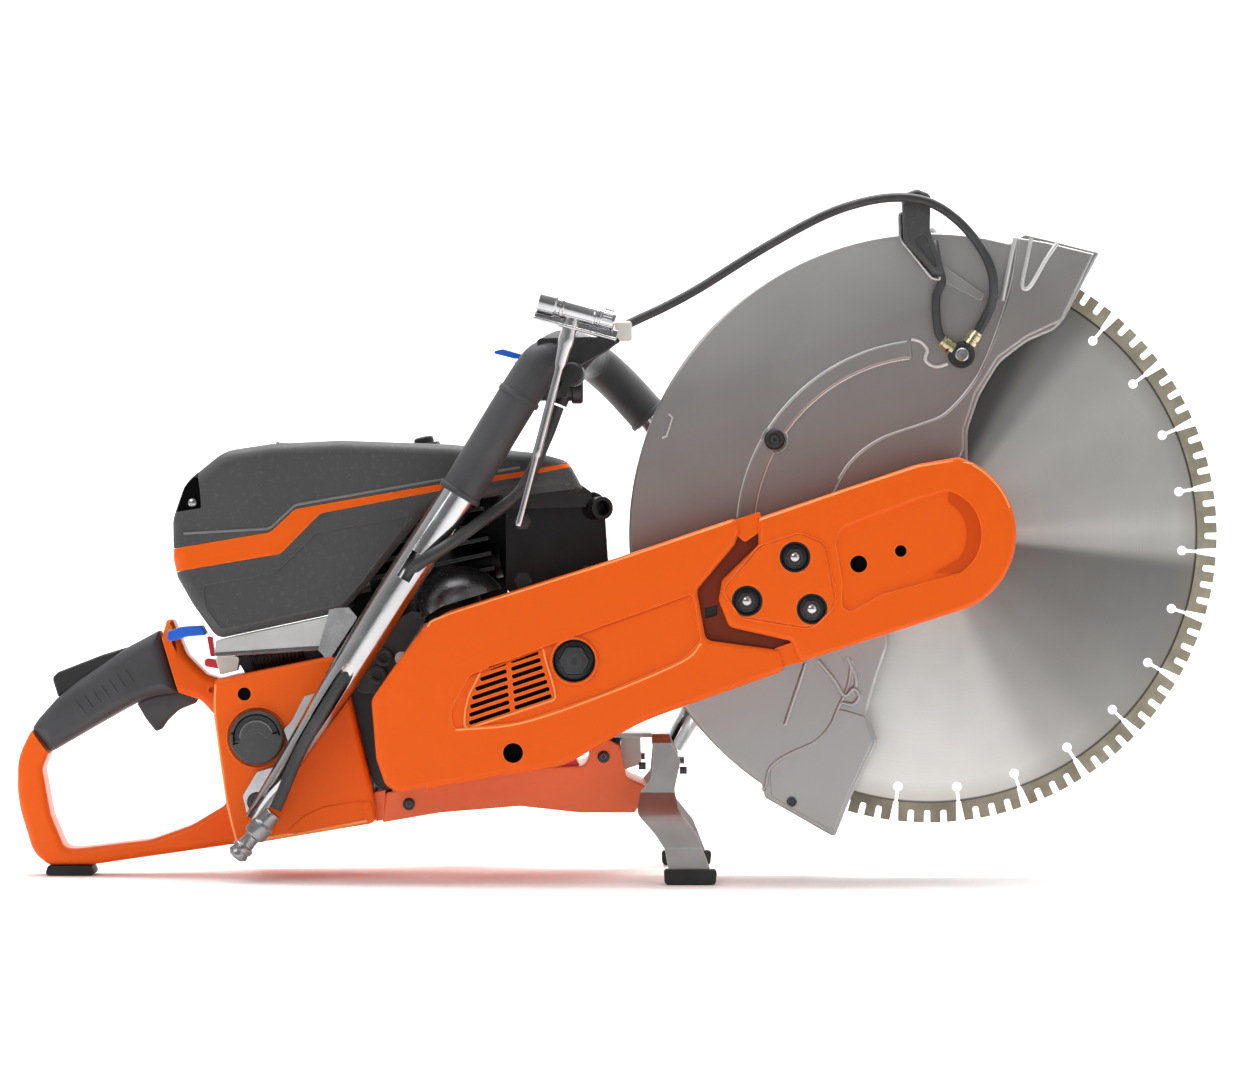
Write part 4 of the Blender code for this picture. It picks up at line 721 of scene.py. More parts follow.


# The lighter orange, charcoal and guard copies paint highlights, the darker orange copies paint shade, and
# the near-black one paints shadows; every plastic and metal look also paints highlights along its edges.
LOOKS = {
    # rim is the colour of the painted highlights along the edges.
    "orange": plastic("orange", (0.83, 0.110, 0.003), 0.34, 0.08, shade=0.98, rim=(0.98, 0.27, 0.05),
                      shine=0.22),
    # A lighter orange for painted highlights.
    "orange_highlight": plastic("orange_highlight", (1.0, 0.34, 0.09), 0.34, 0.08, shade=0.9, shine=0.5),
    "orange_shade": plastic("orange_shade", (0.62, 0.066, 0.003), 0.40, 0.08, shade=0.96, shine=0.15),
    "deep_orange": plastic("deep_orange", (0.86, 0.18, 0.065), 0.38, 0.12, shade=0.9, glow=1.4, shine=0.3),
    # A dark orange for painted shade down the gap between the covers.
    "orange_gap_shade": plastic("orange_gap_shade", (0.20, 0.026, 0.008), 0.45, 0.15, shade=0.8, glow=1.5, shine=0.2),
    # A lighter charcoal for painted highlights.
    "charcoal_highlight": plastic("charcoal_highlight", (0.17, 0.17, 0.17), 0.42, 0.3, shade=0.9),
    # Near-black for painted shadows in holes, pockets and creases.
    "shade_black": plastic("shade_black", (0.004, 0.004, 0.004), 0.9, 0.1, glow=1.0, shine=0.05),
    "charcoal": plastic("charcoal", (0.056, 0.056, 0.057), 0.52, 0.45, 1300, dust=0.05, glow=1.9),
    "black": plastic("black", (0.014, 0.014, 0.015), 0.42, 0.30, glow=2.4),
    "blue": plastic("blue", (0.005, 0.13, 0.74), 0.32, 0.15, coat=0.2),
    "red": plastic("red", (0.62, 0.012, 0.02), 0.35, 0.15, coat=0.2),
    "cream": plastic("cream", (0.66, 0.64, 0.58), 0.45, 0.2),
    "grip": rubber("grip", (0.041, 0.041, 0.044), 0.56, 0.2),
    "foot": rubber("foot", (0.012, 0.012, 0.012), 0.70),
    "hose": hose_rubber(),
    "guard": guard_paint(),
    # A pale grey for painted highlights on the guard.
    "guard_highlight": metal("guard_highlight", (0.72, 0.71, 0.70), 0.32, None, 0.08, 0.05, 1.3, 0.6, even=True),
    "cast": metal("cast", (0.72, 0.71, 0.70), 0.40, None, 0.25, 0.14, 1.2, 0.95, 0.5),
    "zinc": metal("zinc", (0.36, 0.36, 0.365), 0.30, None, 0.20, 0.35, 1.7, 0.95),
    "dull_cast": metal("dull_cast", (0.20, 0.20, 0.205), 0.30, None, 0.25, 0.45, 1.8, 0.9, 0.4),
    "chrome": metal("chrome", (0.66, 0.66, 0.67), 0.15, (1, 1, 0.04), 0.05, 0.22, 1.25),
    "steel": metal("steel", (0.56, 0.56, 0.57), 0.28, (1, 0.05, 1), 0.10, 0.25, 1.3),
    "dark": metal("dark", (0.075, 0.075, 0.078), 0.42, None, 0.18, 0.30, 2.2, 0.85),
    "stand": metal("stand", (0.38, 0.374, 0.368), 0.36, None, 0.12, 0.20, 1.8, 0.8),
    "muffler": metal("muffler", (0.016, 0.016, 0.018), 0.40, None, 0.30, 0.30, 3.0, 0.5, 0.4),
    "fins": metal("fins", (0.020, 0.020, 0.021), 0.38, None, 0.30, 0.20, 6.0, 0.5, 0.3),
    "brass": metal("brass", (0.66, 0.60, 0.38), 0.30, None, 0.10, 0.30, 1.3),
    "blade_core": blade_core(),
    "grit": diamond_grit(),
    "paper": filter_paper(),
}
SLOT_OF_LOOK = {
    "orange": "orange_plastic", "orange_highlight": "orange_plastic", "orange_shade": "orange_plastic",
    "deep_orange": "dark_orange_plastic", "orange_gap_shade": "dark_orange_plastic",
    "charcoal": "charcoal_plastic", "charcoal_highlight": "charcoal_plastic", "shade_black": "black_plastic",
    "black": "black_plastic", "blue": "blue_plastic", "red": "red_plastic", "cream": "filter_foam",
    "grip": "grip_rubber", "foot": "foot_rubber", "hose": "foot_rubber", "guard": "guard_paint",
    "guard_highlight": "guard_paint", "cast": "cast_aluminium", "dull_cast": "cast_aluminium",
    "chrome": "bright_steel", "steel": "bright_steel", "zinc": "bright_steel", "dark": "dark_steel",
    "stand": "dark_steel", "muffler": "black_steel", "fins": "black_steel", "brass": "brass",
    "blade_core": "brushed_steel", "grit": "brushed_steel", "paper": "filter_foam",
}
LOOK_OF_SLOT = {
    "orange_plastic": "orange", "dark_orange_plastic": "deep_orange", "charcoal_plastic": "charcoal",
    "grip_rubber": "grip", "foot_rubber": "foot", "black_plastic": "black", "blue_plastic": "blue",
    "red_plastic": "red", "guard_paint": "guard", "cast_aluminium": "cast", "bright_steel": "steel",
    "brushed_steel": "blade_core", "dark_steel": "dark", "black_steel": "muffler", "brass": "brass",
    "filter_foam": "paper",
}


def dress_cad_nodes():
    """Every CAD node takes the finish of its slot; those left showing keep it."""
    for part in frame["record"]["subparts"]:
        node = NODES[part["node"]]
        look = LOOKS[LOOK_OF_SLOT[part["material_slot"]]]
        if not node.material_slots:
            node.data.materials.append(look)
        for place in node.material_slots:
            place.material = look


# ---------------------------------------------------------------- rear handle and tank

BLIND_HOLE = (125.5, 127.5)
TANK_OUTLINE = [
    (104.3, 137.2, 5), (187.9, 154.3, 6), (198.2, 125.5, 20), (213.3, 61.8, 10),
    (217.0, 39.1, 6), (119.4, 22.8, 6), (112.4, 54, 4), (104.3, 112, 4),
]
HANDLE_LOOP = [
    (68, 178, 3), (64.8, 166.7), (22.2, 135.9), (-26.4, 101.2, 20), (-35.6, 82, 40), (-36.2, 52.6, 90),
    (-25, 16, 24), (-14.5, 7.2, 8), (15.2, 7.2, 14), (119.4, 22.2), (150, 27), (150, 140), (104.3, 137.2),
    (96, 139.7, 12), (82.1, 153.5, 12), (72, 178, 3),
]
HANDLE_WINDOW = [
    (-13.9, 85.2, 4), (-18.4, 74, 8), (-12.5, 42.2, 16), (-3, 19.5, 7), (6, 18.8, 12), (56.9, 24.8, 40),
    (84.7, 34.6, 30), (110.5, 50, 8), (104.4, 108, 8), (91.6, 122, 12), (76.3, 126.9, 3),
]


def grip_core():
    """The moulding's spine inside the soft grip."""
    start, end = Vector((-20.2, 93.2)), Vector((70.0, 151.5))
    along = (end - start).normalized()
    start, end = start - along * 5, end + along * 5
    across = Vector((-along.y, along.x)) * 5
    corners = [start - across, end - across, end + across, start + across]
    return plate([tuple(c) for c in corners], -8, 8)


def flared_window():
    """The handle's opening, wider at both faces so that its rim is rolled over."""
    flare, half = 5, 17
    turns = [math.pi / 2 * i / 6 for i in range(7)]
    side = [(-flare * (1 - math.sin(a)), half - flare * (1 - math.cos(a))) for a in turns]
    rings = [(-flare - 0.3, half + 1), *side]
    rings += [(distance, -y) for distance, y in reversed(rings)]
    return loft("window", HANDLE_WINDOW, rings)


def handle_and_tank():
    """Rear handle and fuel tank as one moulding."""
    loop = cut(pillow(HANDLE_LOOP, -17, 17, 6, steps=7), flared_window())
    grip_zone = [
        (-34, 107), (-26.9, 101.6), (-14.2, 84.8), (-10, 78), (40, 100), (82, 122), (76.4, 127.1),
        (64.2, 167), (60, 172), (20, 145),
    ]
    loop = cut(loop, plate(grip_zone, -20, 20))
    body = joined(loop, grip_core())
    body = joined(body, pillow(TANK_OUTLINE, TANK_RIGHT_Y, TANK_LEFT_Y, 3.6))
    cavity = plate(rounded(inset(TANK_OUTLINE, 4)), TANK_RIGHT_Y + 4, TANK_LEFT_Y - 4)
    filler = disc(CAP_X, CAP_Z, 15.5, TANK_RIGHT_Y - 2, TANK_RIGHT_Y + 8)
    rim = disc(CAP_X, CAP_Z, 20.2, TANK_RIGHT_Y - 2, TANK_RIGHT_Y + 1.2)
    trigger_slot = plate([(70, 100), (70, 133), (95, 133), (95, 100)], -7.5, 7.5)
    blind_hole = disc(*BLIND_HOLE, 4.6, TANK_RIGHT_Y - 2, TANK_RIGHT_Y + 3, 32)
    small_hole = disc(99.7, 129, 2.4, -20, -13, 24)
    body = cut(body, cavity, filler, rim, trigger_slot, blind_hole, small_hole)
    piece(body, "handle_and_tank", "orange", "frame", "rear_handle_tank")
    # A near-black disc of painted shadow at the bottom of the blind hole.
    hole_shade = disc(*BLIND_HOLE, 4.4, TANK_RIGHT_Y + 1.6, TANK_RIGHT_Y + 2.8, 32)
    piece(hole_shade, "tank_hole_shadow", "shade_black", "frame")


def tank_details():
    """Raised skirt along the tank's lower front edge, and moulded stiffening lines in a lighter orange of
    painted highlights.
    """
    skirt = [(155, 33.5, 3), (166, 44, 6), (180, 50.5, 6), (208, 54.5, 3), (212.5, 42.5, 4), (160, 31.5, 2)]
    piece(pillow(skirt, TANK_RIGHT_Y - 1.2, TANK_RIGHT_Y + 0.5, 1.1, 0), "tank_skirt", "orange", "frame")
    lip = [(124, 26.1), (150, 30.1), (180, 35.0), (213, 41.1)]
    piece(flow(at_y(lip, TANK_RIGHT_Y + 1.4), 1.6, 16), "tank_edge_bead", "orange_highlight", "frame")
    side = [(105.9, 134), (105.9, 112), (113.9, 54), (120.4, 27)]
    piece(flow(at_y(side, TANK_RIGHT_Y + 1.4), 1.0, 16), "tank_side_bead", "orange_highlight", "frame")
    strap = [(205, 53, 2), (212.5, 54.5, 2), (215.8, 40.5, 2), (210, 39.5, 2)]
    piece(pillow(strap, TANK_RIGHT_Y - 1.8, TANK_RIGHT_Y + 1, 1.2, 0), "tank_corner_pad", "orange", "frame")
    hoop = arc(CAP_X, CAP_Z, 20.8, 0, 360, 72)[:-1]
    piece(tube(at_y(hoop, TANK_RIGHT_Y - 0.1), 0.7, 12, closed=True), "filler_rim", "orange", "frame")


def fuel_cap():
    """Turned cap with a crescent pocket, a grip bow and a notch, with black lines of painted shade in its
    creases and a painted highlight in the pocket.
    """
    face = TANK_RIGHT_Y - 0.35
    profile = [
        (0, face + 7), (14.6, face + 7), (14.6, face), (18.6, face), (18.6, face - 5.2), (17.8, face - 6.4),
        (16.8, face - 6.8), (0, face - 6.8),
    ]
    cap = lathe(profile, (CAP_X, 0, CAP_Z), steps=96)
    crescent = [*arc(CAP_X, CAP_Z, 15.6, 10, 190, 30), *arc(CAP_X, CAP_Z, 11.2, 190, 10, 30)]
    pocket = plate(rounded(crescent), face - 9, face - 4.6)
    turn = Matrix.Translation(Vector((CAP_X, 0, CAP_Z)) * MM) @ Matrix.Rotation(math.radians(100), 4, "Y")
    notch = box((-1, face - 9, -22), (1, face - 1.5, -15), turn)
    cap = soft(cut(cap, pocket, notch), 0.5, 2, 50)
    key = tube(at_y(arc(CAP_X, CAP_Z - 4, 8.6, 30, 150, 20), face - 6.2), 1.1, 12)
    piece(group(cap, key), "fuel_cap_turned", "charcoal", "cap", "fuel_cap")
    # Near-black lines of painted shade along the pocket's creases.
    lines = (
        arc(CAP_X, CAP_Z, 15.7, 5, 195, 40),
        [(CAP_X - 16.4, CAP_Z - 4.6), (CAP_X - 12.4, CAP_Z - 3.6)],
        [(CAP_X + 11, CAP_Z + 2.6), (CAP_X + 16, CAP_Z + 4.2)],
    )
    creases = [tube(at_y(line, face - 6.75), 0.5, 10) for line in lines]
    piece(group(*creases), "fuel_cap_crease_shadows", "shade_black", "cap")
    # A lighter line of painted highlight inside the pocket.
    bright = tube(at_y(arc(CAP_X, CAP_Z, 11.4, 20, 180, 40), face - 6.8), 0.45, 10)
    piece(bright, "fuel_cap_glint", "charcoal_highlight", "cap")


def rear_grip():
    """Soft sleeve of the rear handle, with room for trigger and lockout and rows of beads."""
    outline = [
        (62.6, 170.4, 1), (39.4, 157.9, 60), (6.4, 135.2, 60), (-8.2, 123.6, 40), (-21.6, 108.6, 12),
        (-26.0, 101.8, 3), (-13.5, 85.3, 3), (7.7, 97.6), (30, 110.4, 30), (46, 119.4, 20), (61, 124.8, 8),
        (75.8, 126.6, 1),
    ]
    sleeve = pillow(outline, -18, 18, 9, steps=8)
    slot = plate([(40, 90), (40, 125.5), (64, 136.5), (82, 134.5), (92, 126), (92, 90)], -7.5, 7.5)
    well = plate([(-30, 108.5), (-30, 170), (48, 170), (48, 148.5), (-4, 116)], -8.7, 8.7)
    piece(cut(sleeve, grip_core(), slot, well), "rear_grip_sleeve", "grip", "frame", "rear_grip")
    starts = [(6 + 5.6 * i, 121 + 3.7 * i) for i in range(7)]
    for number, face in enumerate((-18.0, 18.0)):
        beads = [tube(at_y([(x, z), (x + 5.5, z - 8.5)], face), 0.75, 12) for x, z in starts]
        piece(group(*beads), f"grip_beads_{number}", "grip", "frame")


def trigger_and_lockout():
    """The throttle trigger below the grip, and the lockout above it."""
    trigger = [
        (46.6, 119, 1), (52.5, 108.8), (59.8, 99.6, 2), (63.6, 101.2, 2), (68, 107.6, 12), (75.5, 114.6, 12),
        (88.5, 119.8, 3), (88, 127.6, 3), (78, 128.2, 3), (60, 125.2, 4), (50, 121.8, 2),
    ]
    piece(pillow(trigger, -6.8, 6.8, 1.9), "trigger_lever", "grip", "trigger", "throttle_trigger")
    lockout = [
        (-12.5, 137.2, 4), (-8.4, 123.9, 1), (-1, 127.2, 2), (33, 150.2, 4), (42, 150.4, 2), (44.5, 154, 2),
        (40, 158.6, 2), (22.3, 153.2), (-8.4, 141.2, 4),
    ]
    piece(pillow(lockout, -8, 8, 1.9), "lockout_lever", "black", "lockout", "throttle_lockout")


def bracket_and_controls():
    """The casting under the filter housing, with the choke, the stop switch and the intake."""
    bracket = [(105.5, 164.3, 2), (195.4, 183.6, 2), (189, 165, 3), (182, 157.6, 3), (104.4, 152.6, 2)]
    piece(pillow(bracket, -52, 62, 1.2), "bracket_casting", "cast", "frame", "carburetor_bracket")
    lower = pillow([(105, 155.8, 0.5), (185, 161, 0.5), (181.4, 158, 2), (105, 153.2, 1)], -53.2, -51, 0.8, 0)
    piece(lower, "bracket_lower_flange", "dull_cast", "frame")
    boot = [(115.5, 155, 2), (125, 139.5, 2), (196, 151, 2), (199, 168, 3), (150, 164, 2)]
    piece(slab(boot, -32, 28, 1.2), "intake_boot", "black", "frame")
    sheet = [(184, 186, 1), (197, 187, 2), (203, 180, 2), (183, 150, 2), (176, 158, 2)]
    piece(slab(sheet, -56, -53.2, 0.6), "bracket_end_sheet", "steel", "frame")
    lever = [
        (71.5, 170.2, 1.5), (80.2, 173.4, 3), (94.4, 174.2, 1.5), (98.5, 167.5, 1.5), (84.6, 166.4, 4),
        (73.7, 163.0, 1.5), (70.2, 164.8, 1.5),
    ]
    piece(pillow(lever, -40, -19, 1.2), "choke_lever_moulded", "blue", "choke", "choke_lever")
    piece(copied("stop_switch", 0.8, 3), "stop_switch_moulded", "red", "stop_button", "stop_switch")
    linkage = [(98, 167.2, 1), (101.8, 166, 1), (103.8, 152.5, 1), (100.5, 153, 1)]
    piece(slab(linkage, -38, -30, 0.5), "choke_link", "red", "frame")
    post = [(104.6, 152), (121, 153, 2), (119.5, 143, 2), (108, 140.3)]
    piece(slab(post, -46, -26, 1), "intake_post", "cream", "frame")
    fold = [(0, 0), (6.4, 0), (7.4, 1.2), (6.4, 2.4), (0, 2.4)]
    ribs = [lathe(fold, (128 + 2.6 * i, -34, 150.4 + 0.5 * i), (0.97, 0, 0.2), 32) for i in range(14)]
    piece(group(*ribs), "intake_bellows", "black", "frame")


# ---------------------------------------------------------------- covers above the engine

COVER = [
    (79.0, 207.5, 6), (76.2, 219.4, 8), (75.8, 247.5, 20), (84.3, 272.5, 26), (111.5, 294.5, 30),
    (143.3, 299.3, 20), (191.3, 301.7, 80), (266.7, 299, 80), (328.4, 292.8, 20), (347.6, 287.3, 10),
    (354.5, 274.3, 6), (358.5, 266.9, 2), (301, 262.6, 20), (253, 253.7, 14), (208.5, 198.9, 4),
    (194.8, 184.2, 6), (106.6, 165.2, 9), (89.5, 189, 14),
]
STRIPE_TOP = [(60, 224.5), (143.3, 238.6, 8), (160.5, 254.6, 8), (253, 270.6), (314.7, 280.2), (380, 292)]
STRIPE_LOW = [(60, 208), (150.2, 223.3, 8), (177.6, 251.2, 8), (253, 265.5), (314.7, 276.5), (380, 289)]
COVER_RIGHT_Y, COVER_LEFT_Y, COVER_SHELL = -58.0, 72.0, 3.0
VALVE_X, VALVE_Y = 17, ENGINE_Y + 6  # in the engine's frame


def edge_line(corners, shift=0.0):
    """An open line through the corners, each rounded by its own radius, moved up by shift."""
    points = []
    for i in range(len(corners)):
        if 0 < i < len(corners) - 1:
            own = corners[i][2] if len(corners[i]) > 2 else 0
            points += fillet(corners[i - 1], corners[i], corners[i + 1], own, 6)
        else:
            points.append(corners[i][:2])
    return [(x, z + shift) for x, z in points]


def cover_band(upper, lower):
    """The slice of the cover's outer form between two edge lines."""
    whole = pillow(COVER, COVER_RIGHT_Y, COVER_LEFT_Y, 9, steps=8)
    return common(whole, plate([*upper, *reversed(lower)], -120, 120))


def cover_inside():
    """The space that the three cover mouldings leave free inside."""
    outline = rounded(inset(COVER, COVER_SHELL))
    return plate(outline, COVER_RIGHT_Y + COVER_SHELL, COVER_LEFT_Y - COVER_SHELL)


def top_cover():
    """The grey shell above the stripe, with its screw pocket."""
    shell = cover_band([(60, 330), (380, 330)], edge_line(STRIPE_TOP, 0.2))
    valve = rod(in_engine(VALVE_X, VALVE_Y, 140), in_engine(VALVE_X, VALVE_Y, 190), 8, 48)
    pocket = plate(rounded([(70, 251), (96, 255, 1.5), (95, 268, 3), (92.5, 286, 3), (70, 286)]), -70, -50)
    shell = cut(shell, cover_inside(), valve, pocket)
    piece(soft(shell, 0.6, 2, 55), "top_cover_shell", "charcoal", "frame", "top_cover")
    # A near-black plate of painted shadow at the back of the screw pocket.
    back = [(78.5, 251.5), (96.5, 255), (95.5, 268, 3), (93, 279, 3), (84, 270, 4)]
    piece(slab(back, -52, -49.4, 0.5), "cover_pocket_shadow", "shade_black", "frame")
    screw = lathe([(0, -53.6), (2.0, -53.6), (3.0, -53.0), (3.0, -51), (0, -51)], (89.5, 0, 258.6), steps=24)
    piece(screw, "cover_screw_rear", "steel", "frame")


def cover_lines():
    """The raised line above the stripe, on both sides, in a lighter charcoal as a painted highlight."""
    line = [p for p in edge_line(STRIPE_TOP, 2.6) if 80 < p[0] < 350]
    line = [(84, line[0][1] - 3.2), *line]
    for side, face in (("right", COVER_RIGHT_Y - 0.1), ("left", COVER_LEFT_Y + 0.1)):
        piece(tube(at_y(line, face), 0.9, 12), f"cover_ridge_{side}", "charcoal_highlight", "frame")


def stripe():
    """The orange band between top cover and filter housing."""
    band = cut(cover_band(edge_line(STRIPE_TOP, -0.2), edge_line(STRIPE_LOW, 0.2)), cover_inside())
    piece(soft(band, 0.35, 2, 55), "cover_stripe_shell", "orange", "frame", "cover_stripe")


def filter_housing():
    """The grey shell below the stripe, with sunk side panels and an open engine bay."""
    lower = cover_band(edge_line(STRIPE_LOW, -0.2), [(60, 150), (380, 150)])
    bay = [(197, 189), (212, 160), (230, 150), (349, 150), (349, 271), (253, 262), (203, 203)]
    opening = plate(bay, COVER_RIGHT_Y + COVER_SHELL + 1, COVER_LEFT_Y - COVER_SHELL - 1)
    intake = rod(in_engine(-90, ENGINE_Y, 92), in_engine(-40, ENGINE_Y, 92), 15)
    panel = [
        (97, 202, 4), (147, 210.5, 8), (175, 238, 8), (243, 250, 4), (236, 244, 2), (206, 204, 3),
        (193, 189, 3), (110, 171.5, 4), (99, 186, 4),
    ]
    right = pillow(panel, COVER_RIGHT_Y - 4, COVER_RIGHT_Y + 1.3, 0, 1.2)
    left = pillow(panel, COVER_LEFT_Y - 1.3, COVER_LEFT_Y + 4, 1.2, 0)
    body = cut(lower, cover_inside(), opening, intake, right, left)
    piece(soft(body, 0.6, 2, 55), "filter_housing_shell", "charcoal", "frame", "filter_housing")
    hood = [(300, 270.5), (350, 278, 2), (353.5, 268.5, 2), (303, 262.5)]
    piece(slab(hood, -57.2, -54.6, 0.6), "cover_front_lip", "charcoal", "frame")


def cover_fittings():
    """Decompression valve, its bezel, and the cover screws."""
    foot = in_engine(VALVE_X, VALVE_Y, 0)
    button = [
        (0, 180), (5, 180), (6.6, 179), (7, 177.5), (7, 172), (2.4, 172), (2.4, 141), (5.5, 141),
        (5.5, 138.5), (2.9, 138.5), (2.9, 129), (0, 129),
    ]
    piece(lathe(button, foot, UP_CYLINDER, 40), "valve_button", "black", "valve", "decompression_valve")
    bezel = [(8, 172.6), (11, 172.6), (10.4, 174.6), (8.6, 175), (8, 172.6)]
    piece(lathe(bezel, foot, UP_CYLINDER, 48), "valve_bezel", "black", "frame")
    for number, (x, y) in enumerate(((150, -36), (150, 50), (318, -36), (318, 50))):
        z = 300.9 if x < 200 else 293.4
        screw = lathe([(0, 0.6), (3.4, 0.6), (4.4, -0.4), (4.4, -4), (0, -4)], (x, y, z), (0.05, 0, 1), 32)
        socket = rod((x, y, z - 1.4), (x, y, z + 3), 2.2, 6)
        piece(cut(screw, socket), f"cover_screw_{number}", "steel", "frame")


# ---------------------------------------------------------------- engine


def engine_blocks():
    """Castings kept from the frame with rounded edges, and the muffler's seam, bolts and shield."""
    piece(copied("muffler", 2.2, 4, 30), "muffler_shell", "muffler", "frame", "muffler")
    piece(copied("cylinder", 0.45, 2), "cylinder_casting", "fins", "frame", "cylinder")
    piece(copied("crankcase", 0.8, 2), "crankcase_casting", "cast", "frame", "crankcase")
    piece(copied("carburetor", 1.2, 3), "carburetor_body", "cast", "frame", "carburetor")
    piece(copied("crankcase_guard", 1.6, 3), "belly_guard", "deep_orange", "frame", "crankcase_guard")
    seam = [(318, 257.5, 4), (358, 258.5, 4), (364, 262, 3), (368, 260), (371, 205, 6), (318, 196, 6)]
    piece(tube(at_y(rounded(seam), 12), 1.0, 10, closed=True), "muffler_seam", "muffler", "frame")
    profile = [(0, -38), (4.6, -38), (4.6, -34.2), (6.2, -34.2), (6.2, -33), (0, -33)]
    for number, (x, z) in enumerate(((316, 246), (316, 205), (362, 210))):
        head = lathe(profile, (x, 0, z), steps=6)
        piece(soft(head, 0.4, 2), f"muffler_bolt_{number}", "dark", "frame")
    brow = [(300, 268, 2), (357, 271, 2), (364, 266, 3), (362, 256, 3), (300, 255, 2)]
    piece(slab(brow, -40, -33.8, 1.2), "muffler_heat_shield", "black", "frame")


def clutch_dome():
    """Cast bulge of the crankcase beside the cylinder's foot, between handle and belt cover."""
    middle = 188
    profile = [
        (0, -27), (6, -26.6), (14, -24.5), (22, -19), (27.5, -10), (29.5, 0), (31.5, 2), (31.5, 8), (0, 8),
    ]
    dome = lathe(profile, (273.2, -42, middle), (0, 1, 0), 72)
    flatten = Matrix.Diagonal((1, 1, 0.86, 1))
    lift = Matrix.Translation(Vector((0, 0, middle * MM)))
    dome.data.transform(lift @ flatten @ lift.inverted())
    clip = plate([(225, 166), (262, 188), (330, 209), (330, 240), (225, 240)], -90, 0)
    piece(soft(common(dome, clip), 0.6, 2, 50), "crankcase_dome", "dull_cast", "frame")
    profile = [(0, -49.5), (3.4, -49.5), (3.4, -54.8), (6.2, -54.8), (6.2, -44), (0, -44)]
    for number, (x, z) in enumerate(((220.9, 152.6), (216.8, 140.3))):
        boss = lathe(profile, (x, 0, z), steps=40)
        piece(soft(boss, 0.5, 2), f"crankcase_boss_{number}", "dark", "frame")
    web = [(200, 128, 4), (226, 176, 6), (240, 184, 4), (252, 182, 4), (228, 146, 4), (218, 128, 4)]
    piece(slab(web, -50, -43.5, 1.5), "crankcase_web", "dark", "frame")


def engine_cowl():
    """Black plastic behind and below the cylinder, which closes the engine bay in on the left, and a black
    block of painted shadow behind the crankcase.
    """
    cowl = [
        (228, 150, 6), (236, 205, 8), (252, 258, 6), (303.6, 268, 3), (303.6, 184, 4), (262, 166, 6),
        (244, 150, 6),
    ]
    piece(slab(cowl, 51.4, 54.4, 1.0), "cylinder_cowl", "black", "frame")
    # A black block of painted shadow fills the space behind the crankcase.
    upright = [(192, 136, 4), (224, 152, 4), (240, 70, 4), (222, 60, 4), (214.8, 64, 4)]
    piece(slab(upright, -42, 44, 1.5), "crankcase_rear_shadow", "black", "frame")
    screen = [(186, 150, 4), (196, 204, 4), (238, 214, 4), (240, 150, 4)]
    piece(slab(screen, 46.6, 49.4, 1.0), "intake_screen", "black", "frame")
    joint = [(213.8, 59.5, 1), (222, 61.2, 1), (221, 40.5, 1), (214.8, 39.3, 1)]
    piece(pillow(joint, -47.6, 40, 1), "belly_guard_joint", "deep_orange", "frame")


def belly_details():
    """Screws of the belly guard, and the blocks seen between it and the belt cover."""
    profile = [(0, -49.6), (2.8, -49.6), (4.2, -48.8), (4.2, -47), (0, -47)]
    for number, (x, z) in enumerate(((238, 51.5), (372, 84))):
        screw = cut(lathe(profile, (x, 0, z), steps=32), rod((x, -52, z), (x, -48.6, z), 1.9, 6))
        piece(screw, f"belly_screw_{number}", "dark", "frame")
    primer = [(318, 78.5, 1), (352, 84, 1), (356, 77.5, 1), (319, 74.5, 1)]
    piece(slab(primer, -44, -40, 0.5), "fuel_primer_block", "red", "frame")
    buffer = [(383.5, 96, 2), (397.5, 99, 2), (398, 78, 3), (385, 74, 2)]
    piece(slab(buffer, -30, 18, 1.2), "stand_buffer", "cream", "frame")
    block = [(362, 98, 2), (384, 104, 2), (383, 80, 2), (362, 79, 2)]
    piece(slab(block, -30, 30, 1), "crankcase_front_block", "black", "frame")


# ---------------------------------------------------------------- starter side


PULL_WAY, PULL_FOOT = Vector((-0.2, 0.3, 0.93)).normalized(), Vector((292, 88, 187))


def starter():
    """Ribbed housing with radial slots, its hub and its four screw ears."""
    crank = (CRANK_X, 0, CRANK_Z)
    profile = [
        (0, 108), (26, 108), (30, 107.6), (46, 105.2), (51, 103.4), (55.5, 99.4), (57, 95), (58, 60.5),
        (55, 60.5), (54.5, 94), (52, 98.5), (48.5, 101), (29, 104.8), (0, 104.8),
    ]
    shell = lathe(profile, crank, steps=96)
    slots = []
    for i in range(8):
        turn = (i + 0.37) / 8 * math.tau
        for start, end, step in ((29, 47, 0), (33, 45, math.tau / 16)):
            place = Matrix.Translation(Vector(crank) * MM) @ Matrix.Rotation(turn + step, 4, "Y")
            slots.append(soft(box((start, 96, -2.0), (end, 112, 2.0), place), 1.6, 4, 60))
    hole = rod(tuple(PULL_FOOT - PULL_WAY * 26), tuple(PULL_FOOT - PULL_WAY), 3, 24)
    shell = cut(shell, *slots, hole)
    piece(soft(shell, 0.5, 2, 50), "starter_housing_shell", "orange", "frame", "starter_housing")
    post = lathe([(0, 106), (6, 106), (6, 92), (0, 92)], crank, steps=40)
    piece(post, "starter_post", "orange", "frame")
    hub = lathe([(0, 108.9), (17, 108.9), (19.5, 108.2), (20, 107), (0, 107)], crank)
    piece(hub, "starter_hub_badge", "charcoal", "frame")
    for number in range(4):
        angle = math.radians(45 + 90 * number)
        x, z = CRANK_X + 53 * math.cos(angle), CRANK_Z + 53 * math.sin(angle)
        ear = lathe([(0, 74), (6.5, 74), (7.5, 73), (7.5, 61), (0, 61)], (x, 0, z), steps=40)
        screw = lathe([(0, 76.4), (2.6, 76.4), (4, 75.4), (4, 73), (0, 73)], (x, 0, z), steps=32)
        piece(ear, f"starter_ear_{number}", "orange", "frame")
        piece(cut(screw, rod((x, 75, z), (x, 80, z), 1.9, 6)), f"starter_screw_{number}", "dark", "frame")


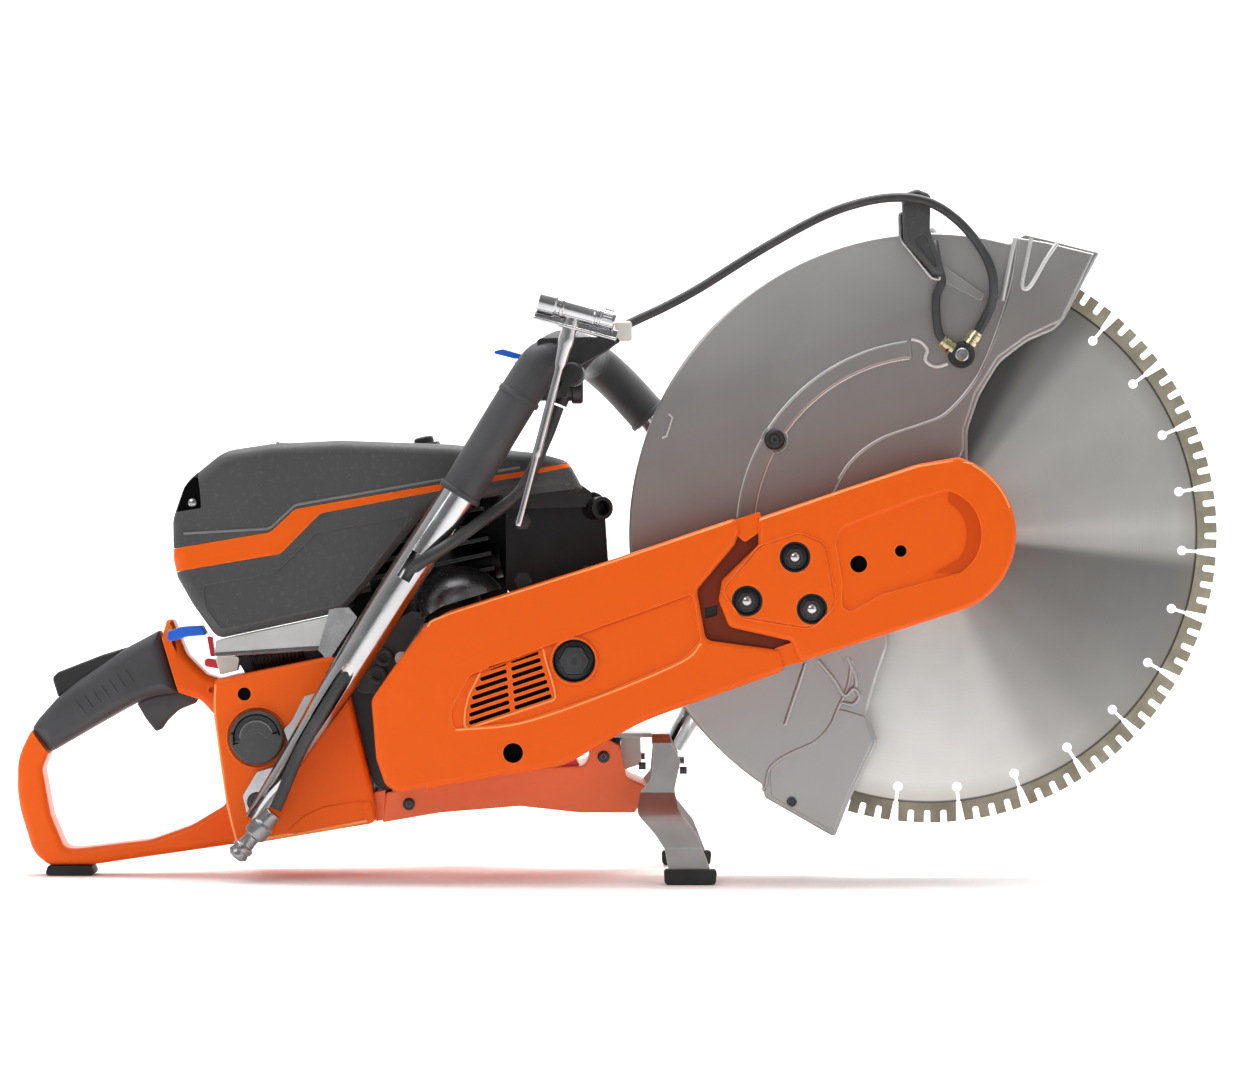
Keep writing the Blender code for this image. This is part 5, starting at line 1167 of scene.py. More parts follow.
def starter_handle():
    """The pull handle's waisted bar on its stem, and the eye in the housing that the rope runs through."""
    base = PULL_FOOT + PULL_WAY * 1.5
    across = PULL_WAY.cross(Vector((0, 1, 0))).normalized()
    middle = base + PULL_WAY * 16
    stem = rod(tuple(base), tuple(base + PULL_WAY * 14), 6, 32, 8)
    shares = (-1, -0.94, -0.8, -0.55, -0.28, 0, 0.28, 0.55, 0.8, 0.94, 1)
    widths = [0.45, 0.86, 0.98, 1, 0.96, 0.93, 0.96, 1, 0.98, 0.86, 0.45]
    bar = flow([tuple(middle + across * (26 * share)) for share in shares], 7.5, 32, widths, 4)
    piece(joined(bar, stem), "starter_pull_handle", "black", "pull_handle", "starter_handle")
    profile = [(3.2, 0), (8, 0), (8, 1.2), (5, 2.6), (3.2, 2.6), (3.2, 0)]
    eye = lathe(profile, tuple(PULL_FOOT - PULL_WAY * 2.2), tuple(PULL_WAY), 40)
    piece(eye, "starter_rope_eye", "black", "frame")


# ---------------------------------------------------------------- belt covers

REAR_HOLE = (310.8, 88.8)
FRONT_HOLES = ((545.2, 216.9), (573.7, 225.7))
REAR_COVER = [
    (214.6, 124.8, 10), (227.5, 143.7, 10), (251.2, 175.6, 10), (266, 184.4, 14), (369.8, 217.2),
    (461.2, 248.1, 3), (464.6, 239.9, 1), (461.2, 229.8, 3), (435.5, 199.3, 6), (441.6, 165.4, 6),
    (491.7, 158.6, 3), (495.1, 145.1, 3), (437.5, 124.8, 40), (396.9, 109.8, 40), (363, 90.9, 20),
    (342.7, 80.7, 20), (302, 73.9, 30), (232, 61.7, 7), (224.1, 67.2, 6), (218, 84.1, 14),
]
REAR_COVER_INSIDE = [
    (214.6, 124.8, 6), (227.5, 143.7), (251.2, 175.6, 6), (266, 184.4, 8), (369.8, 217.2), (461.2, 248.1),
    (600, 295), (600, 182), (495.1, 145.1), (437.5, 124.8), (396.9, 109.8, 20), (363, 90.9, 10),
    (342.7, 80.7, 10), (302, 73.9), (232, 61.7, 6), (224.1, 67.2), (218, 84.1, 10),
]
NOSE = arc(SPINDLE_X, SPINDLE_Z, 54.6, 74, -66, 48)
FRONT_COVER = [
    (477.0, 248.1, 2), (585, 284.6, 20), *NOSE, (505, 150.0, 3),
    (499.0, 164.6, 4), (457.2, 174.0, 6), (449.9, 192.5, 7), (452.4, 206.1, 5), (477.0, 229.8, 4),
]
FRONT_COVER_INSIDE = [(380, 216.1), (585, 284.6, 20), *NOSE, (380, 112.9)]
CLAMP_PAD = [
    (453.6, 199.3, 8), (478.2, 228.6, 8), (505.3, 237.6, 12), (522, 230.4, 10), (529.5, 190, 14),
    (513, 173.5, 12), (465.6, 181.2, 8),
]
VENT_ROWS = 7
HOLE_LOW, HOLE_HIGH = -110, -90  # reach of the tools that cut through the covers' faces


def vent_row(row):
    """Middle of one row of vents, and how far its slots reach to either side."""
    x, z = 307.6 + 0.45 * row, 150.2 - 5.25 * row
    rear = 31.0 * math.sqrt(1 - ((VENT_ROWS - 0.6 - row) / (VENT_ROWS + 0.2)) ** 2)
    return x, z, rear, 21.5 + 1.1 * row


def vent_slots():
    """Two columns of cooling slots along the arm's slope; the rear column ends on a round."""
    slots = []
    for row in range(VENT_ROWS):
        x, z, rear, front = vent_row(row)
        slope = Matrix.Translation(Vector((x, 0, z)) * MM) @ Matrix.Rotation(-ARM_SLOPE, 4, "Y")
        for low, high in ((-rear, -1.6), (1.6, front)):
            slots.append(soft(box((low, -102, -1.45), (high, -90, 1.45), slope), 1.2, 4, 60))
    return slots


def vent_frame():
    """The raised line around the vents."""
    rear, front = [], []
    for row in range(VENT_ROWS):
        x, z, back, ahead = vent_row(row)
        lift = 3.4 if row == 0 else (-3.4 if row == VENT_ROWS - 1 else 0)
        for line, reach in ((rear, -back - 3.2), (front, ahead + 3.2)):
            line.append((x + reach * math.cos(ARM_SLOPE), z + lift + reach * math.sin(ARM_SLOPE)))
    line = rounded([(*p, 3) for p in [*rear, *reversed(front)]], steps=4)
    return tube(at_y(line, COVER_FACE_Y + 1.25), 0.7, 12, closed=True)


def rear_belt_cover():
    """The cover over the drive pulley: a sunk band, the vents, the tensioner's cup and a round hole."""
    shell = pillow(REAR_COVER, COVER_FACE_Y, COVER_BACK_Y, 3.4, 0)
    band = [
        (281.7, 141.7, 6), (332.5, 161, 20), (433, 197.0, 3), (438, 165.0, 3), (425, 152, 20),
        (369.8, 128.1, 30), (315.5, 109.8, 20), (270, 105.0, 4), (268.5, 118, 16),
    ]
    recess = pillow(band, COVER_FACE_Y - 5, COVER_FACE_Y + 1.9, 0, 1.8)
    inside = plate(rounded(inset(REAR_COVER_INSIDE, COVER_WALL)), COVER_FACE_Y + COVER_WALL, 0)
    round_hole = disc(*REAR_HOLE, 6.8, HOLE_LOW, HOLE_HIGH, 48)
    cup = disc(*TENSIONER, 15, HOLE_LOW, HOLE_HIGH)
    shell = cut(shell, inside, recess, round_hole, cup, *vent_slots())
    piece(soft(shell, 0.45, 2, 50), "rear_belt_cover_shell", "orange", "frame", "rear_belt_cover")
    # Near-black plates of painted shadow behind the vents and the round hole.
    dark = plate([(264, 166), (352, 178), (352, 100), (264, 96)], -92.6, -90.6)
    well = disc(*TENSIONER, 15.4, -100, -80)
    piece(cut(dark, well), "vent_shadow", "shade_black", "frame")
    piece(disc(*REAR_HOLE, 9, -91.6, -90.2, 32), "rear_cover_hole_shadow", "shade_black", "frame")


def rear_cover_lines():
    """Beads along the rear cover's mouldings, with painted highlights where they would catch the light and a
    line of painted shade along the pan's upper edge.
    """
    face = COVER_FACE_Y
    lip = smooth_path(
        [(252, 66.6), (302, 75.4), (342, 82.4), (365, 94), (398, 111.9), (440, 127.4), (491, 145.6)], 6)
    piece(tube(at_y(lip, face + 3.2), 2.4, 16), "rear_cover_lower_bead", "orange", "frame")
    foot = smooth_path([(272, 104.4), (315.5, 108.9), (369.8, 127.0), (425, 150.4), (438.4, 163)], 6)
    piece(tube(at_y(foot, face + 0.3), 0.75, 12), "rear_cover_pan_glint", "orange_highlight", "frame")
    brow = smooth_path([(270, 134.4), (284, 141.6), (333, 160.4), (433, 196.6)], 6)
    piece(tube(at_y(brow, face + 1.4), 0.9, 12), "rear_cover_pan_shade", "orange_shade", "frame")
    top = [(252.5, 174.4), (267, 182.6), (369.8, 215.4), (459, 245.4)]
    piece(flow(at_y(top, face + 0.9), 0.8, 12), "rear_cover_crest", "orange_highlight", "frame")
    piece(vent_frame(), "vent_frame_bead", "orange_highlight", "frame")
    hoop = arc(*TENSIONER, 15.6, 0, 360, 72)[:-1]
    piece(tube(at_y(hoop, face + 0.7), 1.0, 12, closed=True), "tensioner_rim", "orange", "frame")


def front_belt_cover():
    """The cover over the driven pulley: a sunk pan round the spindle and a raised pad for the clamp nuts."""
    shell = pillow(FRONT_COVER, COVER_FACE_Y, COVER_BACK_Y, 3.4, 0)
    pan = [
        (528, 240, 14), (585, 262, 16), *arc(SPINDLE_X, SPINDLE_Z, 31, 78, -58, 24), (560, 196, 16),
        (533, 180, 8), (534, 205, 10),
    ]
    recess = pillow(pan, COVER_FACE_Y - 6, COVER_FACE_Y + 1.9, 0, 1.8)
    inside = plate(rounded(inset(FRONT_COVER_INSIDE, COVER_WALL)), COVER_FACE_Y + COVER_WALL, 0)
    shell = cut(shell, recess)
    pad = pillow(CLAMP_PAD, COVER_FACE_Y - 1.2, COVER_FACE_Y + 1.1, 1.0, 0)
    shell = joined(shell, pad)
    holes = [disc(x, z, 10.6, HOLE_LOW, HOLE_HIGH) for x, z in CLAMP_BOLTS]
    large, small = FRONT_HOLES
    holes += [disc(*large, 5.8, HOLE_LOW, HOLE_HIGH), disc(*small, 4, HOLE_LOW, HOLE_HIGH, 40)]
    shell = cut(shell, inside, *holes)
    piece(soft(shell, 0.45, 2, 50), "front_belt_cover_shell", "orange", "frame", "front_belt_cover")
    # Near-black discs of painted shadow behind the two holes.
    hole_shades = [disc(*large, 8, -92, -90.6, 40), disc(*small, 6, -92, -90.6, 32)]
    piece(group(*hole_shades), "front_cover_hole_shadows", "shade_black", "frame")
    # A crescent of painted shade on the pan's floor, standing in for the shaded side of its wall.
    inner = arc(SPINDLE_X - 4.5, SPINDLE_Z - 0.5, 25.6, -40, 60, 30)
    moon = [*arc(SPINDLE_X, SPINDLE_Z, 31.6, 74, -58, 40), (596, 210.5), *inner]
    crescent = plate(moon, COVER_FACE_Y + 1.2, COVER_FACE_Y + 2.2)
    piece(crescent, "front_cover_pan_shade", "orange_shade", "frame")
    # A lighter orange line of painted highlight along the cover's upper edge.
    rim = [(478, 246.4), (585, 282.6), *arc(SPINDLE_X, SPINDLE_Z, 52.8, 66, 20, 12)]
    crest = flow(at_y(rim, COVER_FACE_Y + 0.9), 0.8, 12, steps=2)
    piece(crest, "front_cover_crest", "orange_highlight", "frame")
    outline = rounded(inset(CLAMP_PAD, -1.0))
    piece(tube(at_y(outline, COVER_FACE_Y - 0.2), 0.6, 10, closed=True), "clamp_pad_line", "orange", "frame")


def cover_gap():
    """The lower step of the covers, seen down the zigzag gap between them, in a dark orange of painted shade,
    with a black block of painted shadow and orange caps at its ends.
    """
    floor = rounded([
        (462.5, 246.0, 1), (477.5, 246.5, 1), (477.5, 230, 2), (454, 206.5, 3), (452, 192.5, 3),
        (459, 176, 3), (500.5, 166.6, 3), (506, 151.5, 1), (489.5, 147.5, 1), (489.5, 158, 2),
        (439.5, 164.5, 3), (434.5, 199.5, 3), (460.5, 230, 2),
    ])
    cutout = plate(rounded([(440.6, 187.2), (449.8, 189.4), (449.4, 182.0), (441.0, 179.6)], 0.6), -100, -84)
    body = cut(plate(floor, -92, -88.6), cutout)
    # The floor's dark orange is painted shade.
    piece(soft(body, 0.4, 2), "cover_gap_floor", "orange_gap_shade", "frame")
    dark = plate(rounded([(439, 190), (451, 190), (451, 176), (439, 176)], 1), -88.2, -86.6)
    piece(soft(dark, 0.3), "cover_gap_shadow", "black", "frame")
    ends = (
        [(460.4, 246.6, 1), (478.6, 252.4, 1), (478.6, 239, 2), (468, 231.6, 2), (463.2, 236, 2)],
        [(488, 159.4, 1), (505.6, 165.6, 1), (508.4, 150.4, 1), (490, 146.6, 1)],
    )
    caps = [plate(rounded(corners), -95.4, -88.4) for corners in ends]
    piece(group(*caps), "cover_gap_caps", "orange", "frame")


def at_clamps(profile, steps=SMOOTH):
    """A turned shape at each of the three clamp bolts."""
    return [lathe(profile, (x, 0, z), steps=steps) for x, z in CLAMP_BOLTS]


def clamp_set():
    """Clamp nuts with their washers and studs, in their dark cups."""
    cup = [
        (10.4, -97.4), (10.4, -90.4), (0, -90.4), (0, -92), (8.7, -92), (9.4, -93), (9.4, -97.4),
        (10.4, -97.4),
    ]
    piece(group(*at_clamps(cup)), "clamp_cups", "black", "frame")
    washers = at_clamps([(8.4, -92.3), (8.4, -92.8), (7.6, -93.2), (0, -93.2), (0, -92.3)])
    nuts = at_clamps([(0, -93.3), (6.9, -93.3), (6.9, -96.0), (6.0, -96.6), (0, -96.6)], 6)
    rounded_nuts = [soft(nut, 0.35, 2) for nut in nuts]
    piece(group(*washers, *rounded_nuts), "clamp_nut_set", "dark", "frame", "clamp_nuts")
    stud = [(0, -90), (3.6, -90), (3.6, -96.6), (3.3, -97.4), (2.0, -98.2), (0, -98.4)]
    piece(group(*at_clamps(stud, 40)), "clamp_studs", "chrome", "frame")


def tensioner():
    """The tensioner's hexagon screw in its well."""
    place = (TENSIONER[0], 0, TENSIONER[1])
    washer = lathe([(0, -86.4), (13.6, -86.4), (13.6, -88.8), (12.6, -89.5), (0, -89.5)], place)
    hexagon = lathe([(0, -89.2), (11.2, -89.2), (11.2, -93.4), (10.4, -94.4), (0, -94.4)], place, steps=6)
    head = cut(soft(hexagon, 0.5, 2), disc(*TENSIONER, 4.8, -99, -92.4, 48))
    collar = lathe([(3.2, -92.2), (4.4, -92.2), (4.4, -94.9), (3.2, -94.9), (3.2, -92.2)], place, steps=40)
    core = lathe([(0, -93.2), (2.6, -93.2), (2.6, -92.2), (0, -92.2)], place, steps=32)
    piece(group(washer, head, collar, core), "tensioner_screw", "dark", "tensioner", "belt_tensioner")
    shank = lathe([(0, -88), (4.2, -88), (4.2, -52), (0, -52)], place, steps=24)
    piece(shank, "tensioner_shank", "dark", "tensioner")
    well = [
        (14.8, -97.0), (14.8, -85.2), (0, -85.2), (0, -86.2), (14.1, -86.2), (14.1, -97.0), (14.8, -97.0),
    ]
    piece(lathe(well, place), "tensioner_well", "black", "frame")


# ---------------------------------------------------------------- blade

SEGMENTS, SLOT_START = 27, math.radians(9.7)
CORE_R, TOOTH_ROOT_R, SLOT_END_R = 186.4, 191.5, 176.2
CORE_HALF, SEGMENT_HALF = 1.6, 2.1


def around(radius, angle):
    """A point at a radius and an angle round the spindle."""
    return (SPINDLE_X + radius * math.cos(angle), SPINDLE_Z + radius * math.sin(angle))


def blade_core_disc():
    """The steel core with a keyhole slot between neighbouring segments."""
    pitch = math.tau / SEGMENTS
    slot_half, hole_r = 1.0, 3.2
    opening = math.asin(slot_half / hole_r)
    points = []
    for i in range(SEGMENTS):
        centre = SLOT_START + i * pitch
        points.append(around(CORE_R, centre - slot_half / CORE_R))
        for step in range(13):
            angle = opening + (math.tau - 2 * opening) * step / 12
            across = -hole_r * math.sin(angle)
            reach = SLOT_END_R + hole_r * math.cos(angle)
            points.append((
                SPINDLE_X + reach * math.cos(centre) - across * math.sin(centre),
                SPINDLE_Z + reach * math.sin(centre) + across * math.cos(centre),
            ))
        points.append(around(CORE_R, centre + slot_half / CORE_R))
        points += [around(CORE_R, centre + pitch * (0.5 + k) / 6) for k in range(6)]
    bore = arc(SPINDLE_X, SPINDLE_Z, 12.7, 0, 360 - 360 / 96, 95)
    core = plate(points, BLADE_Y - CORE_HALF, BLADE_Y + CORE_HALF, [bore])
    piece(soft(core, 0.25, 2), "blade_core_disc", "blade_core", "spindle", "diamond_blade")


def blade_segments():
    """Bonded segments, thicker than the core, with four teeth each."""
    pitch = math.tau / SEGMENTS
    notch_half, rim_half = 2.3, 3.1
    segments = []
    for i in range(SEGMENTS):
        start, end = SLOT_START + i * pitch, SLOT_START + (i + 1) * pitch
        outline = [around(CORE_R, start + 1.6 / CORE_R), around(BLADE_R, start + rim_half / BLADE_R)]
        for notch in range(1, 4):
            middle = start + pitch * notch / 4
            outline += [
                around(BLADE_R, middle - notch_half / BLADE_R),
                around(TOOTH_ROOT_R + 0.8, middle - notch_half * 0.9 / TOOTH_ROOT_R),
                around(TOOTH_ROOT_R, middle - notch_half * 0.5 / TOOTH_ROOT_R),
                around(TOOTH_ROOT_R, middle + notch_half * 0.5 / TOOTH_ROOT_R),
                around(TOOTH_ROOT_R + 0.8, middle + notch_half * 0.9 / TOOTH_ROOT_R),
                around(BLADE_R, middle + notch_half / BLADE_R),
            ]
        outline += [around(BLADE_R, end - rim_half / BLADE_R), around(CORE_R, end - 1.6 / CORE_R)]
        outline += [around(CORE_R, start + pitch * k / 6) for k in (5, 4, 3, 2, 1)]
        segments.append(plate(outline, BLADE_Y - SEGMENT_HALF, BLADE_Y + SEGMENT_HALF))
    piece(soft(group(*segments), 0.3, 2, 30), "blade_segment_ring", "grit", "spindle")


def blade_mounting():
    """The two flanges that clamp the blade, and the bolt that holds them."""
    spindle = (SPINDLE_X, 0, SPINDLE_Z)
    low, high = BLADE_Y - 2.15, BLADE_Y + 2.15
    inner = [
        (52.5, low), (52.5, low - 3.2), (51, low - 4.4), (24, -30.2), (10, -30.5), (10, -17.4),
        (12.3, -17.4), (12.3, low - 2), (42, low - 2), (42, low), (52.5, low),
    ]
    piece(lathe(inner, spindle, steps=96), "inner_flange_turned", "steel", "spindle", "inner_flange")
    outer = [
        (52.5, high), (42, high), (42, high + 2), (10, high + 2), (10, -8.4), (22, -8.4), (24, -8.9),
        (50.5, high + 4.6), (52.5, high + 3.2), (52.5, high),
    ]
    holes = []
    for angle in (0.4, 0.4 + math.pi):
        x, z = around(30, angle)
        holes.append(rod((x, -14, z), (x, 0, z), 2.6, 24))
    flange = cut(lathe(outer, spindle, steps=96), *holes)
    piece(flange, "outer_flange_turned", "steel", "spindle", "outer_flange")
    washer = lathe([(0, -8), (16, -8), (16, -6.2), (14.8, -5.4), (0, -5.4)], spindle)
    head = lathe([(0, -5.2), (10.9, -5.2), (10.9, 1.4), (9.8, 2.5), (0, 2.5)], spindle, steps=6)
    shank = lathe([(0, -28), (4.6, -28), (4.6, -8), (0, -8)], spindle, steps=24)
    piece(group(washer, soft(head, 0.4, 2), shank), "blade_bolt_turned", "dark", "spindle", "blade_bolt")


# ---------------------------------------------------------------- guard

GUARD_ARC_START, GUARD_ARC_END = 75, 236
GUARD_FRONT = [
    (541.7, 54, 8), (561, 94, 10), (553.4, 114.7, 14), (562.4, 145, 20), (569.3, 164.3, 20), (560, 186, 6),
]
GUARD_UPPER = [
    (623, 295.2, 14), (623, 308.9, 30), (631.3, 333.1, 40), (645.1, 355.8, 30), (664, 370, 30),
    (683, 378, 14), (690, 386, 12),
]
STEP_EDGE = [
    (526.6, 262.0), (541.7, 287.0), (562.4, 303.0), (590.0, 313.0), (607.2, 320.5), (624.4, 339.0),
    (634.7, 357.2), (645.1, 384.7), (653.3, 412.3), (657.4, 441.5),
]
RIB_IN, RIB_OUT = 122.0, 134.0
RIB_SCREW = around(126, math.radians(148.8))


def guard_rim(radius, steps=96):
    """The guard's round edge at a radius, from one end to the other."""
    return arc(SPINDLE_X, SPINDLE_Z, radius, GUARD_ARC_START, GUARD_ARC_END, steps)


def guard_shell():
    """The pressed shell: a rim round the blade, open at the front, and a wide round opening on the left."""
    pivot_arc = arc(SPINDLE_X, SPINDLE_Z, 52, 260, 420, 40)
    outline = [
        (714, 431.6, 2), (676.1, 441.2), (662.3, 444.4), *guard_rim(GUARD_R), (483.2, 55.4, 2),
        (531.4, 27.9, 3), *GUARD_FRONT, *pivot_arc, *GUARD_UPPER,
    ]
    guard = pillow(outline, GUARD_LOW_Y, GUARD_HIGH_Y, 2.2)
    hollow = [
        (716, 428.6), (676, 438.5), (662.4, 441.6), *guard_rim(GUARD_R - GUARD_WALL), (485.4, 57.4),
        (533, 30.4), (580, 0), (800, 0), (800, 420),
    ]
    room = plate(hollow, GUARD_LOW_Y + GUARD_WALL, GUARD_HIGH_Y - GUARD_WALL)
    far = disc(SPINDLE_X, SPINDLE_Z, 150, 0, 10, 96)
    pivot = disc(SPINDLE_X, SPINDLE_Z, 31.1, -50, -38)
    guard = cut(guard, room, far, pivot)
    piece(soft(guard, 0.3, 2, 55), "guard_shell", "guard", "guard", "blade_guard")


def guard_steps():
    """The raised front band, the rib that runs round the blade's centre, and the tail's fold, with pale lines
    of painted highlight along the rib's sides, the step and a hook.
    """
    face = GUARD_LOW_Y
    step = smooth_path(STEP_EDGE, 6)
    front = [
        *step, (676.1, 438.6), (710, 430.4), (687.5, 384), (664, 373), (644, 358.5), (628.5, 334),
        (620.4, 309), (620.4, 296), (616, 285), (590, 262),
    ]
    piece(pillow(front, face - 2.2, face + 0.4, 2.0, 0), "guard_front_band", "guard", "guard")
    rib = [*arc(SPINDLE_X, SPINDLE_Z, RIB_OUT, 96, 176, 48), *arc(SPINDLE_X, SPINDLE_Z, RIB_IN, 176, 96, 48)]
    piece(pillow(rib, face - 1.9, face + 0.4, 1.8, 0), "guard_arc_rib", "guard", "guard")
    # Pale lines of painted highlight along the rib's sides and along the step.
    sides = [arc(SPINDLE_X, SPINDLE_Z, radius, 97, 175, 60) for radius in (RIB_IN, RIB_OUT)]
    glints = [tube(at_y(side, face - 0.5), 0.65, 10) for side in sides]
    piece(group(*glints), "guard_rib_glints", "guard_highlight", "guard")
    piece(tube(at_y(step[3:], face - 0.5), 0.7, 10), "guard_step_glint", "guard_highlight", "guard")
    # A pale hook-shaped line of painted highlight.
    hook = [
        (584.0, 371.5), (590.5, 369.8), (595.0, 364.5), (593.6, 358.0), (597, 354.0), (602, 352.5),
        (609, 354.5),
    ]
    piece(flow(at_y(hook, face - 0.6), 1.4, 12, steps=5), "guard_rib_hook", "guard_highlight", "guard")
    crease = [(486.6, 76.1), (500, 86), (517.6, 94.0), (528, 105), (533.5, 117.4)]
    tail = smooth_path([(428.1, 116.0), (462, 76), (481.1, 60.9), *crease, (540, 132), (543, 150)], 6)
    piece(tube(at_y(tail[12:], face - 0.2), 1.2, 12), "guard_tail_fold", "guard", "guard")
    lower = [*crease, (552, 112), (557.5, 94), (539.5, 56), (530.4, 31.6), (487.5, 56.6)]
    foot = pillow([(*p, 3) for p in lower], face - 1.4, face + 0.4, 1.0, 0)
    piece(foot, "guard_tail_step", "guard", "guard")


def guard_details():
    """Ribs on the nose and a line along a side slot, both in the pale grey of painted highlights, the guard's
    two screws, and the small folds of its tail.
    """
    face = GUARD_LOW_Y
    vee = (
        [(655.5, 441.0), (652.0, 425), (646.5, 398)],
        [(666.5, 441.2), (663.0, 424), (660.2, 408.6), (663.5, 406.2), (668.2, 411.6), (677, 427),
         (684.2, 437.4)],
    )
    # The nose ribs and the slot line take the pale grey of painted highlights.
    ribs = [flow(at_y(line, face - 2.2), 1.6, 12, steps=5) for line in vee]
    piece(group(*ribs), "guard_nose_ribs", "guard_highlight", "guard")
    slot = [(417, 320), (419.4, 317.6), (415.2, 304.6), (412.2, 303.4)]
    piece(tube(at_y(slot, face - 0.3), 0.75, 10), "guard_slot_glint", "guard_highlight", "guard")
    for number, (x, z, r) in enumerate(((*RIB_SCREW, 7.2), (501.5, 52.8, 3.4))):
        profile = [
            (0, face + 1), (r, face + 1), (r, face - 3.4), (r * 0.8, face - 4.8), (r * 0.62, face - 4.8),
            (r * 0.45, face - 3.6), (0, face - 3.6),
        ]
        socket = rod((x, face - 8, z), (x, face - 2.6, z), r * 0.32, 6)
        screw = cut(lathe(profile, (x, 0, z), steps=48), socket)
        piece(screw, f"guard_screw_{number}", "dark", "guard")
    collar = [(7.2, face - 1.2), (9.4, face - 1.6), (9.4, face + 0.5), (7.2, face + 0.5), (7.2, face - 1.2)]
    piece(lathe(collar, (RIB_SCREW[0], 0, RIB_SCREW[1])), "guard_screw_collar", "guard", "guard")
    stop = [(520, 150), (530, 138), (538, 126), (544, 131), (548, 126), (544, 120), (536, 121)]
    piece(flow(at_y(stop, face - 0.9), 1.5, 12, steps=5), "guard_lower_hook", "guard", "guard")
    folds = (((511, 148), (503, 124), (497, 106)), ((540.5, 152), (546, 137), (543, 128)))
    for number, fold in enumerate(folds):
        groove = flow(at_y(fold, face - 0.2), 1.5, 12, steps=4)
        piece(groove, f"guard_tail_rib_{number}", "guard", "guard")


def guard_lever():
    """Hand lever on the guard, with a sunk pocket, a bright rim and the web it stands on."""
    face = GUARD_LOW_Y - 0.35
    outline = [
        (576.8, 470.5, 4), (587, 474.2, 5), (596.6, 470.5, 5), (596.0, 446, 10), (604.5, 423, 4),
        (606.0, 414.4, 3), (599, 414.8, 4), (577.8, 438.5, 8),
    ]
    body = pillow(outline, -60, face, 3, 1)
    pocket = pillow([(583.5, 440, 4), (593, 444, 6), (601, 421.5, 2), (599.5, 419.8, 2)], -66, -58.2, 0, 0.6)
    piece(soft(cut(body, pocket), 0.5, 2, 55), "guard_lever_body", "charcoal", "guard", "guard_handle")
    rim = rounded([(575.6, 468, 3), (576.2, 440, 8), (597.5, 413.6, 4), (604, 411.6, 3)])[:-1]
    piece(tube(at_y(rim, -52), 1.6, 12), "guard_lever_rim", "steel", "guard")
    web = [(596, 436, 2), (603, 424, 2), (634, 402, 2), (632, 397.5, 2), (606, 411, 3)]
    piece(slab(web, -47, face + 0.5, 0.8), "guard_lever_web", "guard", "guard")


# ---------------------------------------------------------------- water supply


def water_fitting():
    """Brass tee with hexagon, two ferrules and a screw."""
    x, z = 618.2, 360.5
    y = GUARD_LOW_Y - 0.35
    base = lathe([(0, y), (9, y), (9, y - 7.6), (8, y - 9), (0, y - 9)], (x, 0, z))
    rear_arm = rod((x - 2, y - 5, z), (x - 9, y - 5, z + 6.4), 4.2, 32)
    front_arm = rod((x + 1, y - 5, z), (x + 7, y - 5, z + 9.6), 4.2, 32)
    tee = joined(base, rear_arm, front_arm)
    piece(soft(tee, 0.4, 2, 50), "water_tee", "dark", "guard", "spray_fitting", slot="brass")
    ferrule = [
        (0, 3.4), (4.2, 3.4), (4.2, 1.8), (5.0, 1.2), (5.0, -2.2), (4.3, -2.6), (4.3, -3.6), (5.0, -4),
        (5.0, -6.4), (4.2, -7), (0, -7),
    ]
    ferrules = [
        lathe(ferrule, (x - 10.6, y - 5, z + 7.7), (-13.5, 0, 9.8), 40),
        lathe(ferrule, (x + 8.9, y - 5, z + 12.6), (9.8, 0, 14.8), 40),
    ]
    piece(group(*ferrules), "water_ferrules", "brass", "guard")
    profile = [(0, y - 9), (4.6, y - 9), (4.6, y - 10.8), (3.8, y - 11.5), (0, y - 11.5)]
    screw = lathe(profile, (x, 0, z), steps=40)
    socket = rod((x, y - 14, z), (x, y - 9.8, z), 2.3, 6)
    piece(cut(screw, socket), "water_tee_screw", "steel", "guard")


def guard_short_hose():
    """Hose from the tee up behind the lever and over to the blade's far side."""
    path = [
        (607.0, -49, 368.7), (603, -49, 375), (601, -49, 386), (601, -49.5, 401), (604.6, -50, 411),
        (602.8, -50, 419.5), (600.5, -47, 431), (600, -38, 441), (600, -22, 446.6), (600, -4, 446.6),
        (600, 8, 441), (601, 10, 425), (606, 9, 400),
    ]
    piece(flow(path, 3.0, 20), "guard_short_hose", "hose", "guard")
    far = lathe([(0, 10), (6.5, 10), (8, 9), (8, 4.4), (0, 4.4)], (608, 0, 392), steps=40)
    piece(far, "far_nozzle", "brass", "guard")


def upper_hose():
    """Supply hose to the guard: its ends lie at the tap and the guard, and it curves in between."""
    path = [
        (384, -60, 378.2), (391, -60, 382.2), (415, -60, 393.5), (438.3, -60, 406.2), (479.6, -60, 432.0),
        (520.9, -61, 454.6), (550, -64, 464.6), (575, -66, 467.6), (596, -66, 463.8), (614, -64, 452.4),
        (629, -60, 436), (637.6, -57, 420), (640.0, -54, 406), (637.4, -50.5, 392), (628.6, -49, 375.0),
    ]
    hose = piece(flow(path, 3.2, 24), "water_hose_to_guard", "hose", None, "water_hose_upper")
    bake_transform(hose)


def lower_hose():
    """Supply hose from the coupling up along the handle to the tap."""
    path = [
        (341, -62, 324.5), (332, -64, 301), (315, -72, 267), (285, -87, 243), (264, -99, 228),
        (250, -98.5, 219), (240, -91, 210), (226, -86, 190), (204, -83, 154), (193, -87, 136),
        (181, -86.5, 116), (165, -84, 88), (153.5, -82, 61), (148.6, -82, 49.9),
    ]
    piece(flow(path, 4.2, 24), "supply_hose", "hose", "frame", "water_hose_lower")


